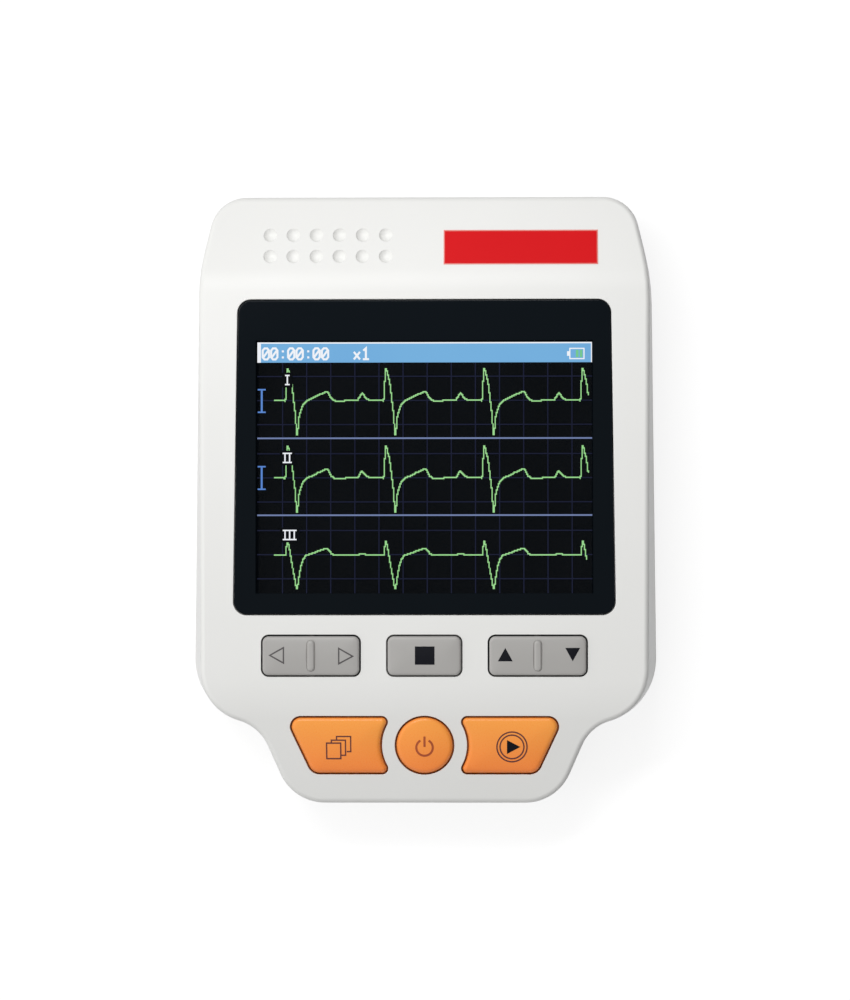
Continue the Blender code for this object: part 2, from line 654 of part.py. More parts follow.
def half_outline():
    """Right half of the parting line, from the middle of the top to that of the chin."""
    top = (0, TOP_END, 0)
    end = (0, CHIN_END, 0)
    corners = [
        top,
        (HALF_BODY - TOP_CORNER_DRAW_IN, TOP_END, TOP_CORNER_RADIUS),
        (HALF_BODY - UPPER_DRAW_IN, TOP_END - TAPER_LENGTH, TAPER_RADIUS),
        (HALF_BODY, SHOULDER_Y, SHOULDER_RADIUS),
        (HALF_NECK, NECK_Y, NECK_RADIUS),
        (HALF_CHIN, CHIN_END, CHIN_CORNER_RADIUS),
        end,
    ]
    bend = [CHIN_SLOPE * step / CHIN_BEND_STEPS for step in range(CHIN_BEND_STEPS + 1)]
    rungs = [CREASE_Y] + [CHIN_BEND_Y - CHIN_BEND_RADIUS * math.sin(angle) for angle in bend]
    path = with_rungs(rounded_path(corners), rungs)
    first = (Vector((0, TOP_END)), Vector((0, 1)))
    last = (Vector((0, CHIN_END)), Vector((0, -1)))
    return [first, *path, last]


HALF_OUTLINE = half_outline()


def housing_point(point, out, inset, level):
    """A point of the outline, drawn in by the draft at its height and by an inset."""
    z = level(point.y)
    if z > PARTING_HEIGHT:
        lean_x = (z - PARTING_HEIGHT) * math.tan(side_draft(point.y))
        lean_y = (z - PARTING_HEIGHT) * math.tan(END_DRAFT)
    else:
        lean_x = lean_y = (PARTING_HEIGHT - z) * math.tan(REAR_DRAFT)
    x = point.x - out.x * (lean_x + inset)
    y = point.y - out.y * (lean_y + inset)
    return Vector((x, y, level(y)))


def cap_half(bm, ring, faces_up):
    """Close half a ring to the middle plane with one flat face between each two folds."""
    rims = ring[1:-1]
    start, corner = 0, ring[0]
    for i in range(1, len(rims)):
        fold = i == len(rims) - 1 or abs(fold_at(rims, i)) > FOLD_LIMIT
        if not fold:
            continue
        last = i == len(rims) - 1
        middle = ring[-1] if last else bm.verts.new((0, rims[i].co.y, rims[i].co.z))
        face = [*rims[start:i + 1], middle, corner]
        bm.faces.new(list(reversed(face)) if faces_up else face)
        start, corner = i, middle


def fold_at(rims, i):
    """How sharply the face's slope changes at one point of the rim."""
    before = rims[i].co - rims[i - 1].co
    after = rims[i + 1].co - rims[i].co
    return math.atan2(after.z, -after.y) - math.atan2(before.z, -before.y)


def housing_solid(name, sections):
    """Loft through drawn-in copies of the outline, each (inset, level), lowest first."""
    bm = bmesh.new()
    rings = []
    for inset, level in sections:
        points = [housing_point(point, out, inset, level) for point, out in HALF_OUTLINE]
        rings.append([bm.verts.new(point) for point in points])
    for low, high in zip(rings, rings[1:]):
        for i in range(len(low) - 1):
            bm.faces.new((low[i], high[i], high[i + 1], low[i + 1]))
    cap_half(bm, rings[0], False)
    cap_half(bm, rings[-1], True)
    thing = add_object(name, mesh_from(bm, name))
    mirror = thing.modifiers.new("left half", "MIRROR")
    mirror.merge_threshold = WELD_DISTANCE
    return thing


def housing_loop(inset, height):
    """Whole outline of the housing at one height, drawn in by an inset, as (x, y)."""
    half = [housing_point(point, out, inset, lambda y: height) for point, out in HALF_OUTLINE]
    right = [(point.x, point.y) for point in half]
    left = [(-x, y) for x, y in reversed(right[1:-1])]
    return right[1:-1] + left


def at(height):
    return lambda y: height


def below_face(depth):
    return lambda y: face_height(y) - depth


def rounding(radius):
    """Steps of a quarter round as (drawn in, short of the full height)."""
    angles = [math.pi / 2 * step / EDGE_STEPS for step in range(EDGE_STEPS + 1)]
    return [(radius * (1 - math.cos(angle)), radius * (1 - math.sin(angle))) for angle in angles]


def grey_key_path(x, width):
    return rounded_rectangle(x, GREY_ROW_Y, width, GREY_KEY_HEIGHT, GREY_KEY_RADIUS)


def power_key_path():
    centre = Vector((0, ORANGE_ROW_Y))
    path = []
    for step in range(POWER_KEY_STEPS):
        angle = math.pi / 2 - math.tau * step / POWER_KEY_STEPS
        direction = Vector((math.cos(angle), math.sin(angle)))
        path.append((centre + direction * POWER_KEY_RADIUS, direction))
    return path


def right_key_path():
    """Four-sided key whose inner side is hollowed round the power key."""
    half = ORANGE_KEY_HEIGHT / 2
    corner = SIDE_KEY_CORNER_RADIUS
    tilt = math.asin((half - corner) / (HOLLOW_RADIUS + corner))
    centre = Vector((0, ORANGE_ROW_Y))
    reach = (HOLLOW_RADIUS + corner) * math.cos(tilt)
    upper = Vector((reach, ORANGE_ROW_Y + half - corner))
    lower = Vector((reach, ORANGE_ROW_Y - half + corner))
    top, low = ORANGE_ROW_Y + half, ORANGE_ROW_Y - half
    outer = rounded_path([
        (reach, top, 0),
        (SIDE_KEY_TOP_REACH, top, SIDE_KEY_TOP_RADIUS),
        (SIDE_KEY_LOW_REACH, low, SIDE_KEY_LOW_RADIUS),
        (reach, low, 0),
    ])
    path = arc(upper, corner, math.pi + tilt, -(math.pi / 2 + tilt))
    path += outer
    path += arc(lower, corner, -math.pi / 2, -(math.pi / 2 + tilt))
    path += arc(centre, HOLLOW_RADIUS, -tilt, 2 * tilt, hollow=True)[1:-1]
    return path


def mirrored(path):
    flip = Vector((-1, 1))
    return [(point * flip, out * flip) for point, out in reversed(path)]


KEY_PATHS = {
    "left_right_rocker": grey_key_path(-ROCKER_X, ROCKER_WIDTH),
    "stop_key": grey_key_path(0, STOP_KEY_WIDTH),
    "up_down_rocker": grey_key_path(ROCKER_X, ROCKER_WIDTH),
    "review_key": mirrored(right_key_path()),
    "power_key": power_key_path(),
    "measure_key": right_key_path(),
}
CASE_SCREWS = ring_of_four(CASE_SCREW_X, CASE_SCREW_TOP_Y, CASE_SCREW_LOW_Y)
BOARD_SCREWS = [
    (-BOARD_SCREW_TOP_X, BOARD_SCREW_TOP_Y), (BOARD_SCREW_TOP_X, BOARD_SCREW_TOP_Y),
    (-BOARD_SCREW_LOW_X, BOARD_SCREW_LOW_Y), (BOARD_SCREW_LOW_X, BOARD_SCREW_LOW_Y),
]
PRESS_POINTS = [
    (-ROCKER_X - ROCKER_PRESS_REACH, GREY_ROW_Y), (-ROCKER_X + ROCKER_PRESS_REACH, GREY_ROW_Y),
    (0, GREY_ROW_Y),
    (ROCKER_X - ROCKER_PRESS_REACH, GREY_ROW_Y), (ROCKER_X + ROCKER_PRESS_REACH, GREY_ROW_Y),
    (-SIDE_KEY_PRESS_X, ORANGE_ROW_Y), (0, ORANGE_ROW_Y), (SIDE_KEY_PRESS_X, ORANGE_ROW_Y),
]


def lay_on_chin(thing):
    """Shear a piece made under the display plane down on to the chin's slope."""
    for vertex in thing.data.vertices:
        vertex.co.z -= chin_drop(vertex.co.y)


def key_openings(front):
    """A straight-sided opening for each key, a gap wider than the key."""
    for name, path in KEY_PATHS.items():
        z = (PARTING_HEIGHT + SEAT_GAP, FACE_HEIGHT + OVERRUN)
        cut(front, plate(f"{name} opening", [grown(path, KEY_GAP)], z))


def window_seat(front):
    """Recess for the window, a ledge under it and the opening for the display."""
    across = WINDOW_WIDTH + 2 * (WINDOW_GAP + LEDGE_RIM)
    down = WINDOW_HEIGHT + 2 * (WINDOW_GAP + LEDGE_RIM)
    pad_path = rounded_rectangle(0, WINDOW_CENTRE, across, down, WINDOW_RADIUS + LEDGE_RIM)
    pad_top = FACE_HEIGHT - FACE_WALL / 2
    pad = plate("window pad", [grown(pad_path)], (LEDGE_UNDERSIDE, pad_top))
    recess_path = rounded_rectangle(0, WINDOW_CENTRE, WINDOW_WIDTH, WINDOW_HEIGHT, WINDOW_RADIUS)
    recess = plate(
        "window recess", [grown(recess_path, WINDOW_GAP)], (LEDGE_TOP, FACE_HEIGHT + OVERRUN)
    )
    half_width = ACTIVE_WIDTH / 2 + VIEW_MARGIN
    half_height = ACTIVE_HEIGHT / 2 + VIEW_MARGIN
    view = box(
        "display opening", (-half_width, half_width),
        (ACTIVE_CENTRE - half_height, ACTIVE_CENTRE + half_height),
        (LEDGE_UNDERSIDE - OVERRUN, LEDGE_TOP + OVERRUN),
    )
    add(front, pad)
    cut(front, recess, view)


def sounder_dimples(front):
    """Shallow round dimples in the brow, above the sounder."""
    ball = (DIMPLE_RADIUS**2 + DIMPLE_DEPTH**2) / (2 * DIMPLE_DEPTH)
    bm = bmesh.new()
    for column in range(DIMPLE_COLUMNS):
        for row in range(DIMPLE_ROWS):
            x = DIMPLE_X + (column - (DIMPLE_COLUMNS - 1) / 2) * DIMPLE_PITCH_X
            y = DIMPLE_Y + (row - (DIMPLE_ROWS - 1) / 2) * DIMPLE_PITCH_Y
            place = Matrix.Translation((x, y, face_height(y) + ball - DIMPLE_DEPTH))
            tilt = Matrix.Rotation(-BROW_SLOPE, 4, "X")
            bmesh.ops.create_uvsphere(
                bm, u_segments=DIMPLE_SEGMENTS, v_segments=DIMPLE_RINGS, radius=ball,
                matrix=place @ tilt,
            )
    cut(front, add_object("dimples", mesh_from(bm, "dimples")))


def rocker_saddles(front):
    """Blocks under the face with a notch for each rocker pin, open from below."""
    notch_radius = ROCKER_PIN_RADIUS + SADDLE_GAP
    near = GREY_KEY_HEIGHT / 2 + KEY_GAP + SADDLE_SETBACK
    blocks = []
    notches = []
    for x in (-ROCKER_X, ROCKER_X):
        for side in (-1, 1):
            reach = (near + SADDLE_THICKNESS) if side > 0 else -near
            back = near if side > 0 else -(near + SADDLE_THICKNESS)
            y = (GREY_ROW_Y + back, GREY_ROW_Y + reach)
            across = (x - SADDLE_WIDTH / 2, x + SADDLE_WIDTH / 2)
            z = (FACE_UNDERSIDE - SADDLE_DEPTH, FACE_UNDERSIDE + FACE_WALL / 2)
            blocks.append(box("saddle block", across, y, z))
            slot = (x - notch_radius, x + notch_radius)
            past = (y[0] - OVERRUN, y[1] + SADDLE_THICKNESS)
            if side > 0:
                past = (y[0] - SADDLE_THICKNESS, y[1] + OVERRUN)
            low = (FACE_UNDERSIDE - SADDLE_DEPTH - OVERRUN, ROCKER_AXIS_HEIGHT)
            notches.append(box("saddle slot", slot, past, low))
            notches.append(pin_along_y("saddle top", x, past, notch_radius))
    add(front, *blocks)
    cut(front, *notches)


def pin_along_y(name, x, y, radius):
    """Pin on a rocker's axis between two places along the length."""
    bm = bmesh.new()
    turn = Matrix.Rotation(math.pi / 2, 4, "X")
    middle = Matrix.Translation((x, (y[0] + y[1]) / 2, ROCKER_AXIS_HEIGHT))
    bmesh.ops.create_cone(
        bm, cap_ends=True, segments=KEY_STEM_STEPS, radius1=radius, radius2=radius,
        depth=y[1] - y[0], matrix=middle @ turn,
    )
    return add_object(name, mesh_from(bm, name))


def front_bosses(front):
    """Screw bosses to the rear shell and posts to the board, each with its blind hole."""
    low = BOSS_JOINT_HEIGHT + SEAT_GAP
    for y in (CASE_SCREW_TOP_Y, CASE_SCREW_LOW_Y):
        pair = [(-CASE_SCREW_X, y), (CASE_SCREW_X, y)]
        top = face_height(y) - FACE_WALL / 2
        add(front, pegs("front boss", pair, FRONT_BOSS_RADIUS, (low, top), BOSS_STEPS))
    for x, y in ((BOARD_SCREW_TOP_X, BOARD_SCREW_TOP_Y), (BOARD_SCREW_LOW_X, BOARD_SCREW_LOW_Y)):
        pair = [(-x, y), (x, y)]
        z = (STAND_HEIGHT, face_height(y) - FACE_WALL / 2)
        add(front, pegs("board post", pair, BOARD_POST_RADIUS, z, BOSS_STEPS))
    case_depth = CASE_SCREW_SEAT + CASE_SCREW_LENGTH + SEAT_GAP
    hole = CASE_SCREW_RADIUS + SCREW_HOLE_GAP
    cut(front, pegs("boss holes", CASE_SCREWS, hole, (low - OVERRUN, case_depth), SCREW_STEPS))
    board_depth = BOARD_UNDERSIDE + BOARD_SCREW_LENGTH + SEAT_GAP
    hole = BOARD_SCREW_RADIUS + SCREW_HOLE_GAP
    z = (STAND_HEIGHT - OVERRUN, board_depth)
    cut(front, pegs("post holes", BOARD_SCREWS, hole, z, SCREW_STEPS))


def socket_limits(x, width, height):
    return (x - width / 2, x + width / 2), (STAND_HEIGHT, STAND_HEIGHT + height)


def socket_openings(front):
    """Openings in the top end for the two sockets, as large as their mouths."""
    for x, width, height in (
        (LEAD_SOCKET_X, LEAD_SOCKET_WIDTH, LEAD_SOCKET_HEIGHT),
        (DATA_SOCKET_X, DATA_SOCKET_WIDTH, DATA_SOCKET_HEIGHT),
    ):
        across, up = socket_limits(x, width, height)
        mouth = (across[0] + SOCKET_SHELL, across[1] - SOCKET_SHELL)
        rise = (up[0] + SOCKET_SHELL, up[1] - SOCKET_SHELL)
        y = (TOP_END - SIDE_WALL - OVERRUN, TOP_END + OVERRUN)
        cut(front, box("socket opening", mouth, y, rise))


def front_shell():
    sections = [(0, at(PARTING_HEIGHT + SEAT_GAP))]
    for drawn_in, short in rounding(FACE_EDGE_RADIUS):
        sections.append((drawn_in, below_face(short)))
    front = housing_solid("front outside", sections)
    cavity = housing_solid("front cavity", [
        (SIDE_WALL, at(PARTING_HEIGHT - OVERRUN)),
        (SIDE_WALL, below_face(FACE_WALL + CAVITY_CHAMFER)),
        (SIDE_WALL + CAVITY_CHAMFER, below_face(FACE_WALL)),
    ])
    rabbet = housing_solid("lip rabbet", [
        (SIDE_WALL - LIP_THICKNESS - LIP_GAP, at(PARTING_HEIGHT - OVERRUN)),
        (SIDE_WALL - LIP_THICKNESS - LIP_GAP, at(PARTING_HEIGHT + LIP_HEIGHT + SEAT_GAP)),
    ])
    cut(front, cavity, rabbet)
    window_seat(front)
    rocker_saddles(front)
    front_bosses(front)
    key_openings(front)
    sounder_dimples(front)
    socket_openings(front)
    return dress(front, "front_shell", "white_plastic")


def rear_form(name):
    """Outside of the rear half, from the flat rear face up to the parting line."""
    steps = [(drawn_in, at(short)) for drawn_in, short in reversed(rounding(REAR_EDGE_RADIUS))]
    return housing_solid(name, [*steps, (0, at(PARTING_HEIGHT))])


def battery_bay(rear):
    """Walled bay that opens to the rear, with a slot for each battery blade."""
    half = HALF_BATTERY + BAY_GAP
    outer = half + BAY_WALL
    walls = box(
        "bay walls", (-outer, outer), (BAY_LOW_Y - BAY_WALL, BAY_TOP_Y + BAY_WALL),
        (REAR_WALL / 2, BAY_ROOF_TOP),
    )
    pad_reach = HALF_DOOR + TONGUE_REACH + RAIL_MARGIN
    pad = box(
        "door rails", (-pad_reach, pad_reach),
        (CHIN_END + RAIL_START_INSET, DOOR_TOP_Y + RAIL_MARGIN),
        (REAR_WALL / 2, DOOR_TOP + SLIDE_GAP + RAIL_COVER),
    )
    inside = box(
        "bay", (-half, half), (BAY_LOW_Y, BAY_TOP_Y), (-OVERRUN, BAY_ROOF_UNDERSIDE)
    )
    add(rear, walls, pad)
    cut(rear, inside, *door_slot())
    for x in blade_places():
        across = (x - BLADE_WIDTH / 2 - BLADE_SLOT_GAP, x + BLADE_WIDTH / 2 + BLADE_SLOT_GAP)
        y = (BAY_TOP_Y - OVERRUN / 2, BAY_TOP_Y + BAY_WALL + OVERRUN / 2)
        z = (CONNECTOR_LOW - BLADE_SLOT_GAP, CONNECTOR_LOW + BLADE_HEIGHT + BLADE_SLOT_GAP)
        cut(rear, box("blade slot", across, y, z))


def door_slot():
    """Slot that the door slides in, open at the chin, with a groove for each tongue."""
    y = (CHIN_END - OVERRUN, DOOR_TOP_Y + SLIDE_GAP)
    half = HALF_DOOR + SLIDE_GAP
    low_part = box("door slot", (-half, half), y, (-OVERRUN, DOOR_TOP + SLIDE_GAP))
    wide = half + TONGUE_REACH
    z = (DOOR_TOP - TONGUE_THICKNESS - SLIDE_GAP, DOOR_TOP + SLIDE_GAP)
    groove = box("tongue groove", (-wide, wide), y, z)
    return low_part, groove


def electrode_places():
    return [(-ELECTRODE_X, ELECTRODE_Y), (ELECTRODE_X, ELECTRODE_Y)]


def electrode_pins():
    shift = ELECTRODE_PIN_PITCH / 2
    return [(x, y + side * shift) for x, y in electrode_places() for side in (-1, 1)]


def electrode_pockets(rear):
    depth = ELECTRODE_RECESS + ELECTRODE_THICKNESS + SEAT_GAP
    for x, y in electrode_places():
        path = rounded_rectangle(x, y, ELECTRODE_WIDTH, ELECTRODE_LENGTH, ELECTRODE_RADIUS)
        cut(rear, plate("electrode pocket", [grown(path, SEAT_GAP)], (-OVERRUN, depth)))
    hole = ELECTRODE_PIN_RADIUS + SEAT_GAP
    cut(rear, pegs("pin holes", electrode_pins(), hole, (0, REAR_WALL + OVERRUN), SCREW_STEPS))


def rear_bosses(rear):
    """Bosses with a counterbore from the rear for each case screw."""
    z = (REAR_WALL / 2, BOSS_JOINT_HEIGHT)
    add(rear, pegs("rear boss", CASE_SCREWS, REAR_BOSS_RADIUS, z, BOSS_STEPS))
    head = CASE_SCREW_HEAD_RADIUS + SCREW_HOLE_GAP
    cut(rear, pegs("counterbore", CASE_SCREWS, head, (-OVERRUN, CASE_SCREW_SEAT), BOSS_STEPS))
    hole = CASE_SCREW_RADIUS + SCREW_HOLE_GAP
    z = (CASE_SCREW_SEAT - OVERRUN, BOSS_JOINT_HEIGHT + OVERRUN)
    cut(rear, pegs("screw hole", CASE_SCREWS, hole, z, SCREW_STEPS))


def floor_ribs(rear):
    """Ribs that tie the bay's rails to the side walls."""
    start = HALF_DOOR + TONGUE_REACH + RAIL_MARGIN - RIB_THICKNESS
    reach = HALF_BODY - SIDE_WALL
    for number in range(RIB_COUNT):
        y = RIB_FIRST_Y - number * RIB_PITCH
        across = (y - RIB_THICKNESS / 2, y + RIB_THICKNESS / 2)
        z = (REAR_WALL / 2, REAR_WALL + RIB_HEIGHT)
        add(rear, box("right rib", (start, reach), across, z))
        add(rear, box("left rib", (-reach, -start), across, z))


def rear_shell():
    rear = rear_form("rear outside")
    cavity = housing_solid("rear cavity", [
        (REAR_EDGE_RADIUS, at(REAR_WALL)),
        (SIDE_WALL, at(REAR_EDGE_RADIUS)),
        (SIDE_WALL, at(PARTING_HEIGHT + LIP_HEIGHT + OVERRUN)),
    ])
    lip = housing_solid("lip", [
        (SIDE_WALL - LIP_THICKNESS, at(PARTING_HEIGHT - LIP_HEIGHT)),
        (SIDE_WALL - LIP_THICKNESS, at(PARTING_HEIGHT + LIP_HEIGHT)),
    ])
    add(rear, lip)
    cut(rear, cavity)
    electrode_pockets(rear)
    floor_ribs(rear)
    rear_bosses(rear)
    battery_bay(rear)
    return dress(rear, "rear_shell", "grey_plastic")


def battery_door():
    """Plate with a tongue along each side, cut to the housing's own outside."""
    half = HALF_DOOR
    y = (CHIN_END - OVERRUN, DOOR_TOP_Y)
    door = box("door plate", (-half, half), y, (DOOR_RECESS, DOOR_TOP))
    reach = half + TONGUE_REACH
    tongue = box("tongues", (-reach, reach), y, (DOOR_TOP - TONGUE_THICKNESS, DOOR_TOP))
    add(door, tongue)
    combine(door, rear_form("door outside"), "INTERSECT")
    for number in range(GRIP_GROOVES):
        y = GRIP_CENTRE_Y + (number - (GRIP_GROOVES - 1) / 2) * GRIP_PITCH
        path = rounded_rectangle(0, y, GRIP_LENGTH, GRIP_WIDTH, GRIP_WIDTH * GRIP_ROUND_SHARE)
        cut(door, plate("grip", [grown(path)], (-OVERRUN, DOOR_RECESS + GRIP_DEPTH)))
    return dress(door, "battery_door", "grey_plastic", (0, DOOR_TOP_Y, DOOR_RECESS))


def display_window():
    path = rounded_rectangle(0, WINDOW_CENTRE, WINDOW_WIDTH, WINDOW_HEIGHT, WINDOW_RADIUS)
    window = plate("window", [grown(path)], (FACE_HEIGHT - WINDOW_THICKNESS, FACE_HEIGHT))
    return dress(window, "display_window", "window_black")


def window_adhesive():
    """Frame of tape between the window and the ledge."""
    path = rounded_rectangle(0, WINDOW_CENTRE, WINDOW_WIDTH, WINDOW_HEIGHT, WINDOW_RADIUS)
    hole = rounded_rectangle(
        0, WINDOW_CENTRE, WINDOW_WIDTH - 2 * TAPE_WIDTH, WINDOW_HEIGHT - 2 * TAPE_WIDTH,
        WINDOW_RADIUS,
    )
    low = LEDGE_TOP + TAPE_GAP
    tape = plate("tape", [grown(path), grown(hole)], (low, low + TAPE_THICKNESS))
    return dress(tape, "window_adhesive", "tape_black")


def display_gasket():
    """Foam frame that closes the gap between the ledge and the module."""
    width = ACTIVE_WIDTH + 2 * VIEW_MARGIN
    height = ACTIVE_HEIGHT + 2 * VIEW_MARGIN
    inner = rounded_rectangle(0, ACTIVE_CENTRE, width, height, FOAM_WIDTH)
    loops = [grown(inner, FOAM_WIDTH), grown(inner)]
    foam = plate("foam", loops, (FOAM_TOP - FOAM_THICKNESS, FOAM_TOP))
    return dress(foam, "display_gasket", "foam_black")


def display_module():
    """Panel in its bezel, sunk a little where the picture shows."""
    half_width = MODULE_WIDTH / 2
    half_height = MODULE_HEIGHT / 2
    y = (WINDOW_CENTRE - half_height, WINDOW_CENTRE + half_height)
    module = box("module", (-half_width, half_width), y, (MODULE_UNDERSIDE, MODULE_TOP))
    across = ACTIVE_WIDTH / 2
    up = ACTIVE_HEIGHT / 2
    picture = box(
        "picture", (-across, across), (ACTIVE_CENTRE - up, ACTIVE_CENTRE + up),
        (MODULE_TOP - MODULE_BEZEL_DEPTH, MODULE_TOP + OVERRUN),
    )
    cut(module, picture)
    return dress(module, "display_module", "display_glass")


def display_frame():
    """Moulded frame on the board: the module drops into it on to an inner ledge."""
    pocket_x = MODULE_WIDTH / 2 + SEAT_GAP
    pocket_y = MODULE_HEIGHT / 2 + SEAT_GAP
    outer_x = pocket_x + FRAME_WALL
    outer_y = pocket_y + FRAME_WALL
    frame = box(
        "frame", (-outer_x, outer_x), (WINDOW_CENTRE - outer_y, WINDOW_CENTRE + outer_y),
        (STAND_HEIGHT, MODULE_TOP),
    )
    pocket = box(
        "pocket", (-pocket_x, pocket_x), (WINDOW_CENTRE - pocket_y, WINDOW_CENTRE + pocket_y),
        (FRAME_LEDGE_TOP, MODULE_TOP + OVERRUN),
    )
    inner_x = pocket_x - FRAME_LEDGE
    inner_y = pocket_y - FRAME_LEDGE
    inner = box(
        "frame opening", (-inner_x, inner_x),
        (WINDOW_CENTRE - inner_y, WINDOW_CENTRE + inner_y),
        (STAND_HEIGHT - OVERRUN, MODULE_TOP),
    )
    slot_x = FLEX_WIDTH / 2 + FLEX_SLOT_MARGIN
    slot = box(
        "flex slot", (-slot_x, slot_x),
        (WINDOW_CENTRE + inner_y, WINDOW_CENTRE + outer_y + OVERRUN),
        (FRAME_LEDGE_TOP, MODULE_TOP + OVERRUN),
    )
    cut(frame, pocket, inner, slot)
    return dress(frame, "display_frame", "frame_plastic")


def flex_start():
    """Where the flex leaves the module: its edge along the length, and its height."""
    return WINDOW_CENTRE + MODULE_HEIGHT / 2 + SEAT_GAP, MODULE_UNDERSIDE + FLEX_RISE


def flex_end():
    y, z = flex_start()
    return y + FLEX_RUN + FLEX_BEND_LENGTH + FLEX_RUN, STAND_HEIGHT + FLEX_CONNECTOR_HEIGHT / 2


def display_flex():
    """Flat cable out of the frame's slot, down an S and into its connector."""
    y, z = flex_start()
    end_y, end_z = flex_end()
    line = [(y, z), (y + FLEX_RUN, z), (end_y - FLEX_RUN, end_z), (end_y, end_z)]
    half = FLEX_WIDTH / 2
    bm = bmesh.new()
    left = [bm.verts.new((-half, along, up)) for along, up in line]
    right = [bm.verts.new((half, along, up)) for along, up in line]
    for i in range(len(line) - 1):
        bm.faces.new((left[i], right[i], right[i + 1], left[i + 1]))
    flex = add_object("flex", mesh_from(bm, "flex"))
    folds = flex.modifiers.new("soft folds", "BEVEL")
    folds.width = FLEX_BEND_LENGTH * FLEX_FOLD_SHARE
    folds.segments = EDGE_STEPS
    folds.limit_method = "ANGLE"
    sheet = flex.modifiers.new("sheet", "SOLIDIFY")
    sheet.thickness = FLEX_THICKNESS
    sheet.offset = 0
    return dress(flex, "display_flex", "flex_amber")


def flex_connector():
    """Board connector whose mouth takes the end of the flex."""
    end_y, end_z = flex_end()
    half = FLEX_WIDTH / 2 + FLEX_CONNECTOR_MARGIN
    front = end_y - FLEX_MOUTH_DEPTH
    connector = box(
        "connector", (-half, half), (front, front + FLEX_CONNECTOR_DEPTH),
        (STAND_HEIGHT, STAND_HEIGHT + FLEX_CONNECTOR_HEIGHT),
    )
    mouth_x = FLEX_WIDTH / 2 + SEAT_GAP
    gap = FLEX_THICKNESS / 2 + SEAT_GAP
    mouth = box(
        "connector mouth", (-mouth_x, mouth_x), (front - OVERRUN, end_y + SEAT_GAP),
        (end_z - gap, end_z + gap),
    )
    cut(connector, mouth)
    return dress(connector, "flex_connector", "connector_ivory")


def main_board():
    """Board that follows the housing, cleared round the case bosses."""
    loop = housing_loop(SIDE_WALL + BOARD_EDGE_GAP, BOARD_UNDERSIDE)
    board = plate("board", [loop], (BOARD_UNDERSIDE, BOARD_TOP))
    z = (BOARD_UNDERSIDE - OVERRUN, BOARD_TOP + OVERRUN)
    around = FRONT_BOSS_RADIUS + BOARD_BOSS_GAP
    hole = BOARD_SCREW_RADIUS + SCREW_HOLE_GAP
    cut(board, pegs("boss clearance", CASE_SCREWS, around, z, BOSS_STEPS))
    cut(board, pegs("board holes", BOARD_SCREWS, hole, z, SCREW_STEPS))
    return dress(board, "main_board", "board_green")


def board_part(name, centre, size, height, finish):
    """Flat part that stands on the board, its corners eased."""
    x, y = centre
    part = box(
        name, (x - size[0] / 2, x + size[0] / 2), (y - size[1] / 2, y + size[1] / 2),
        (STAND_HEIGHT, STAND_HEIGHT + height),
    )
    round_edges(part, CHIP_EDGE, 1)
    return dress(part, name, finish)


def board_parts():
    board_part(
        "shield_can", (SHIELD_X, WINDOW_CENTRE + SHIELD_RISE), (SHIELD_WIDTH, SHIELD_LENGTH),
        SHIELD_HEIGHT, "tin_plate",
    )
    board_part(
        "processor", (PROCESSOR_X, WINDOW_CENTRE + PROCESSOR_RISE),
        (PROCESSOR_SIZE, PROCESSOR_SIZE), PROCESSOR_HEIGHT, "chip_black",
    )
    board_part(
        "ecg_amplifier", (AMPLIFIER_X, WINDOW_CENTRE + AMPLIFIER_RISE),
        (AMPLIFIER_SIZE, AMPLIFIER_SIZE), AMPLIFIER_HEIGHT, "chip_black",
    )


def sounder():
    """Round sounder under the dimples, with a port in its top."""
    top = STAND_HEIGHT + SOUNDER_HEIGHT
    port = top - SOUNDER_PORT_DEPTH
    profile = [
        (0, port), (SOUNDER_PORT_RADIUS, port), (SOUNDER_PORT_RADIUS, top),
        (SOUNDER_RADIUS - CHIP_EDGE, top), (SOUNDER_RADIUS, top - CHIP_EDGE),
        (SOUNDER_RADIUS, STAND_HEIGHT), (0, STAND_HEIGHT),
    ]
    body = turned("sounder body", profile, SOUNDER_STEPS, (DIMPLE_X, DIMPLE_Y))
    return dress(body, "sounder", "sounder_black")


def socket(name, x, width, height, depth, finish):
    """Board socket with an open mouth at the top end and a contact tongue inside."""
    across, up = socket_limits(x, width, height)
    lean = (up[1] - PARTING_HEIGHT) * math.tan(END_DRAFT)
    mouth_y = TOP_END - SIDE_WALL - SOCKET_SETBACK - lean
    body = box(name, across, (mouth_y - depth, mouth_y), up)
    inner_x = (across[0] + SOCKET_SHELL, across[1] - SOCKET_SHELL)
    inner_z = (up[0] + SOCKET_SHELL, up[1] - SOCKET_SHELL)
    mouth = box("mouth", inner_x, (mouth_y - SOCKET_MOUTH_DEPTH, mouth_y + OVERRUN), inner_z)
    middle = (up[0] + up[1]) / 2
    tongue = box(
        "contact tongue", (across[0] + SOCKET_TONGUE_MARGIN, across[1] - SOCKET_TONGUE_MARGIN),
        (mouth_y - SOCKET_MOUTH_DEPTH - SOCKET_SHELL, mouth_y - SOCKET_SHELL),
        (middle - SOCKET_TONGUE_HEIGHT / 2, middle + SOCKET_TONGUE_HEIGHT / 2),
    )
    cut(body, mouth)
    add(body, tongue)
    return dress(body, name, finish)


def sockets():
    socket(
        "lead_socket", LEAD_SOCKET_X, LEAD_SOCKET_WIDTH, LEAD_SOCKET_HEIGHT,
        LEAD_SOCKET_DEPTH, "frame_plastic",
    )
    socket(
        "data_socket", DATA_SOCKET_X, DATA_SOCKET_WIDTH, DATA_SOCKET_HEIGHT,
        DATA_SOCKET_DEPTH, "tin_plate",
    )


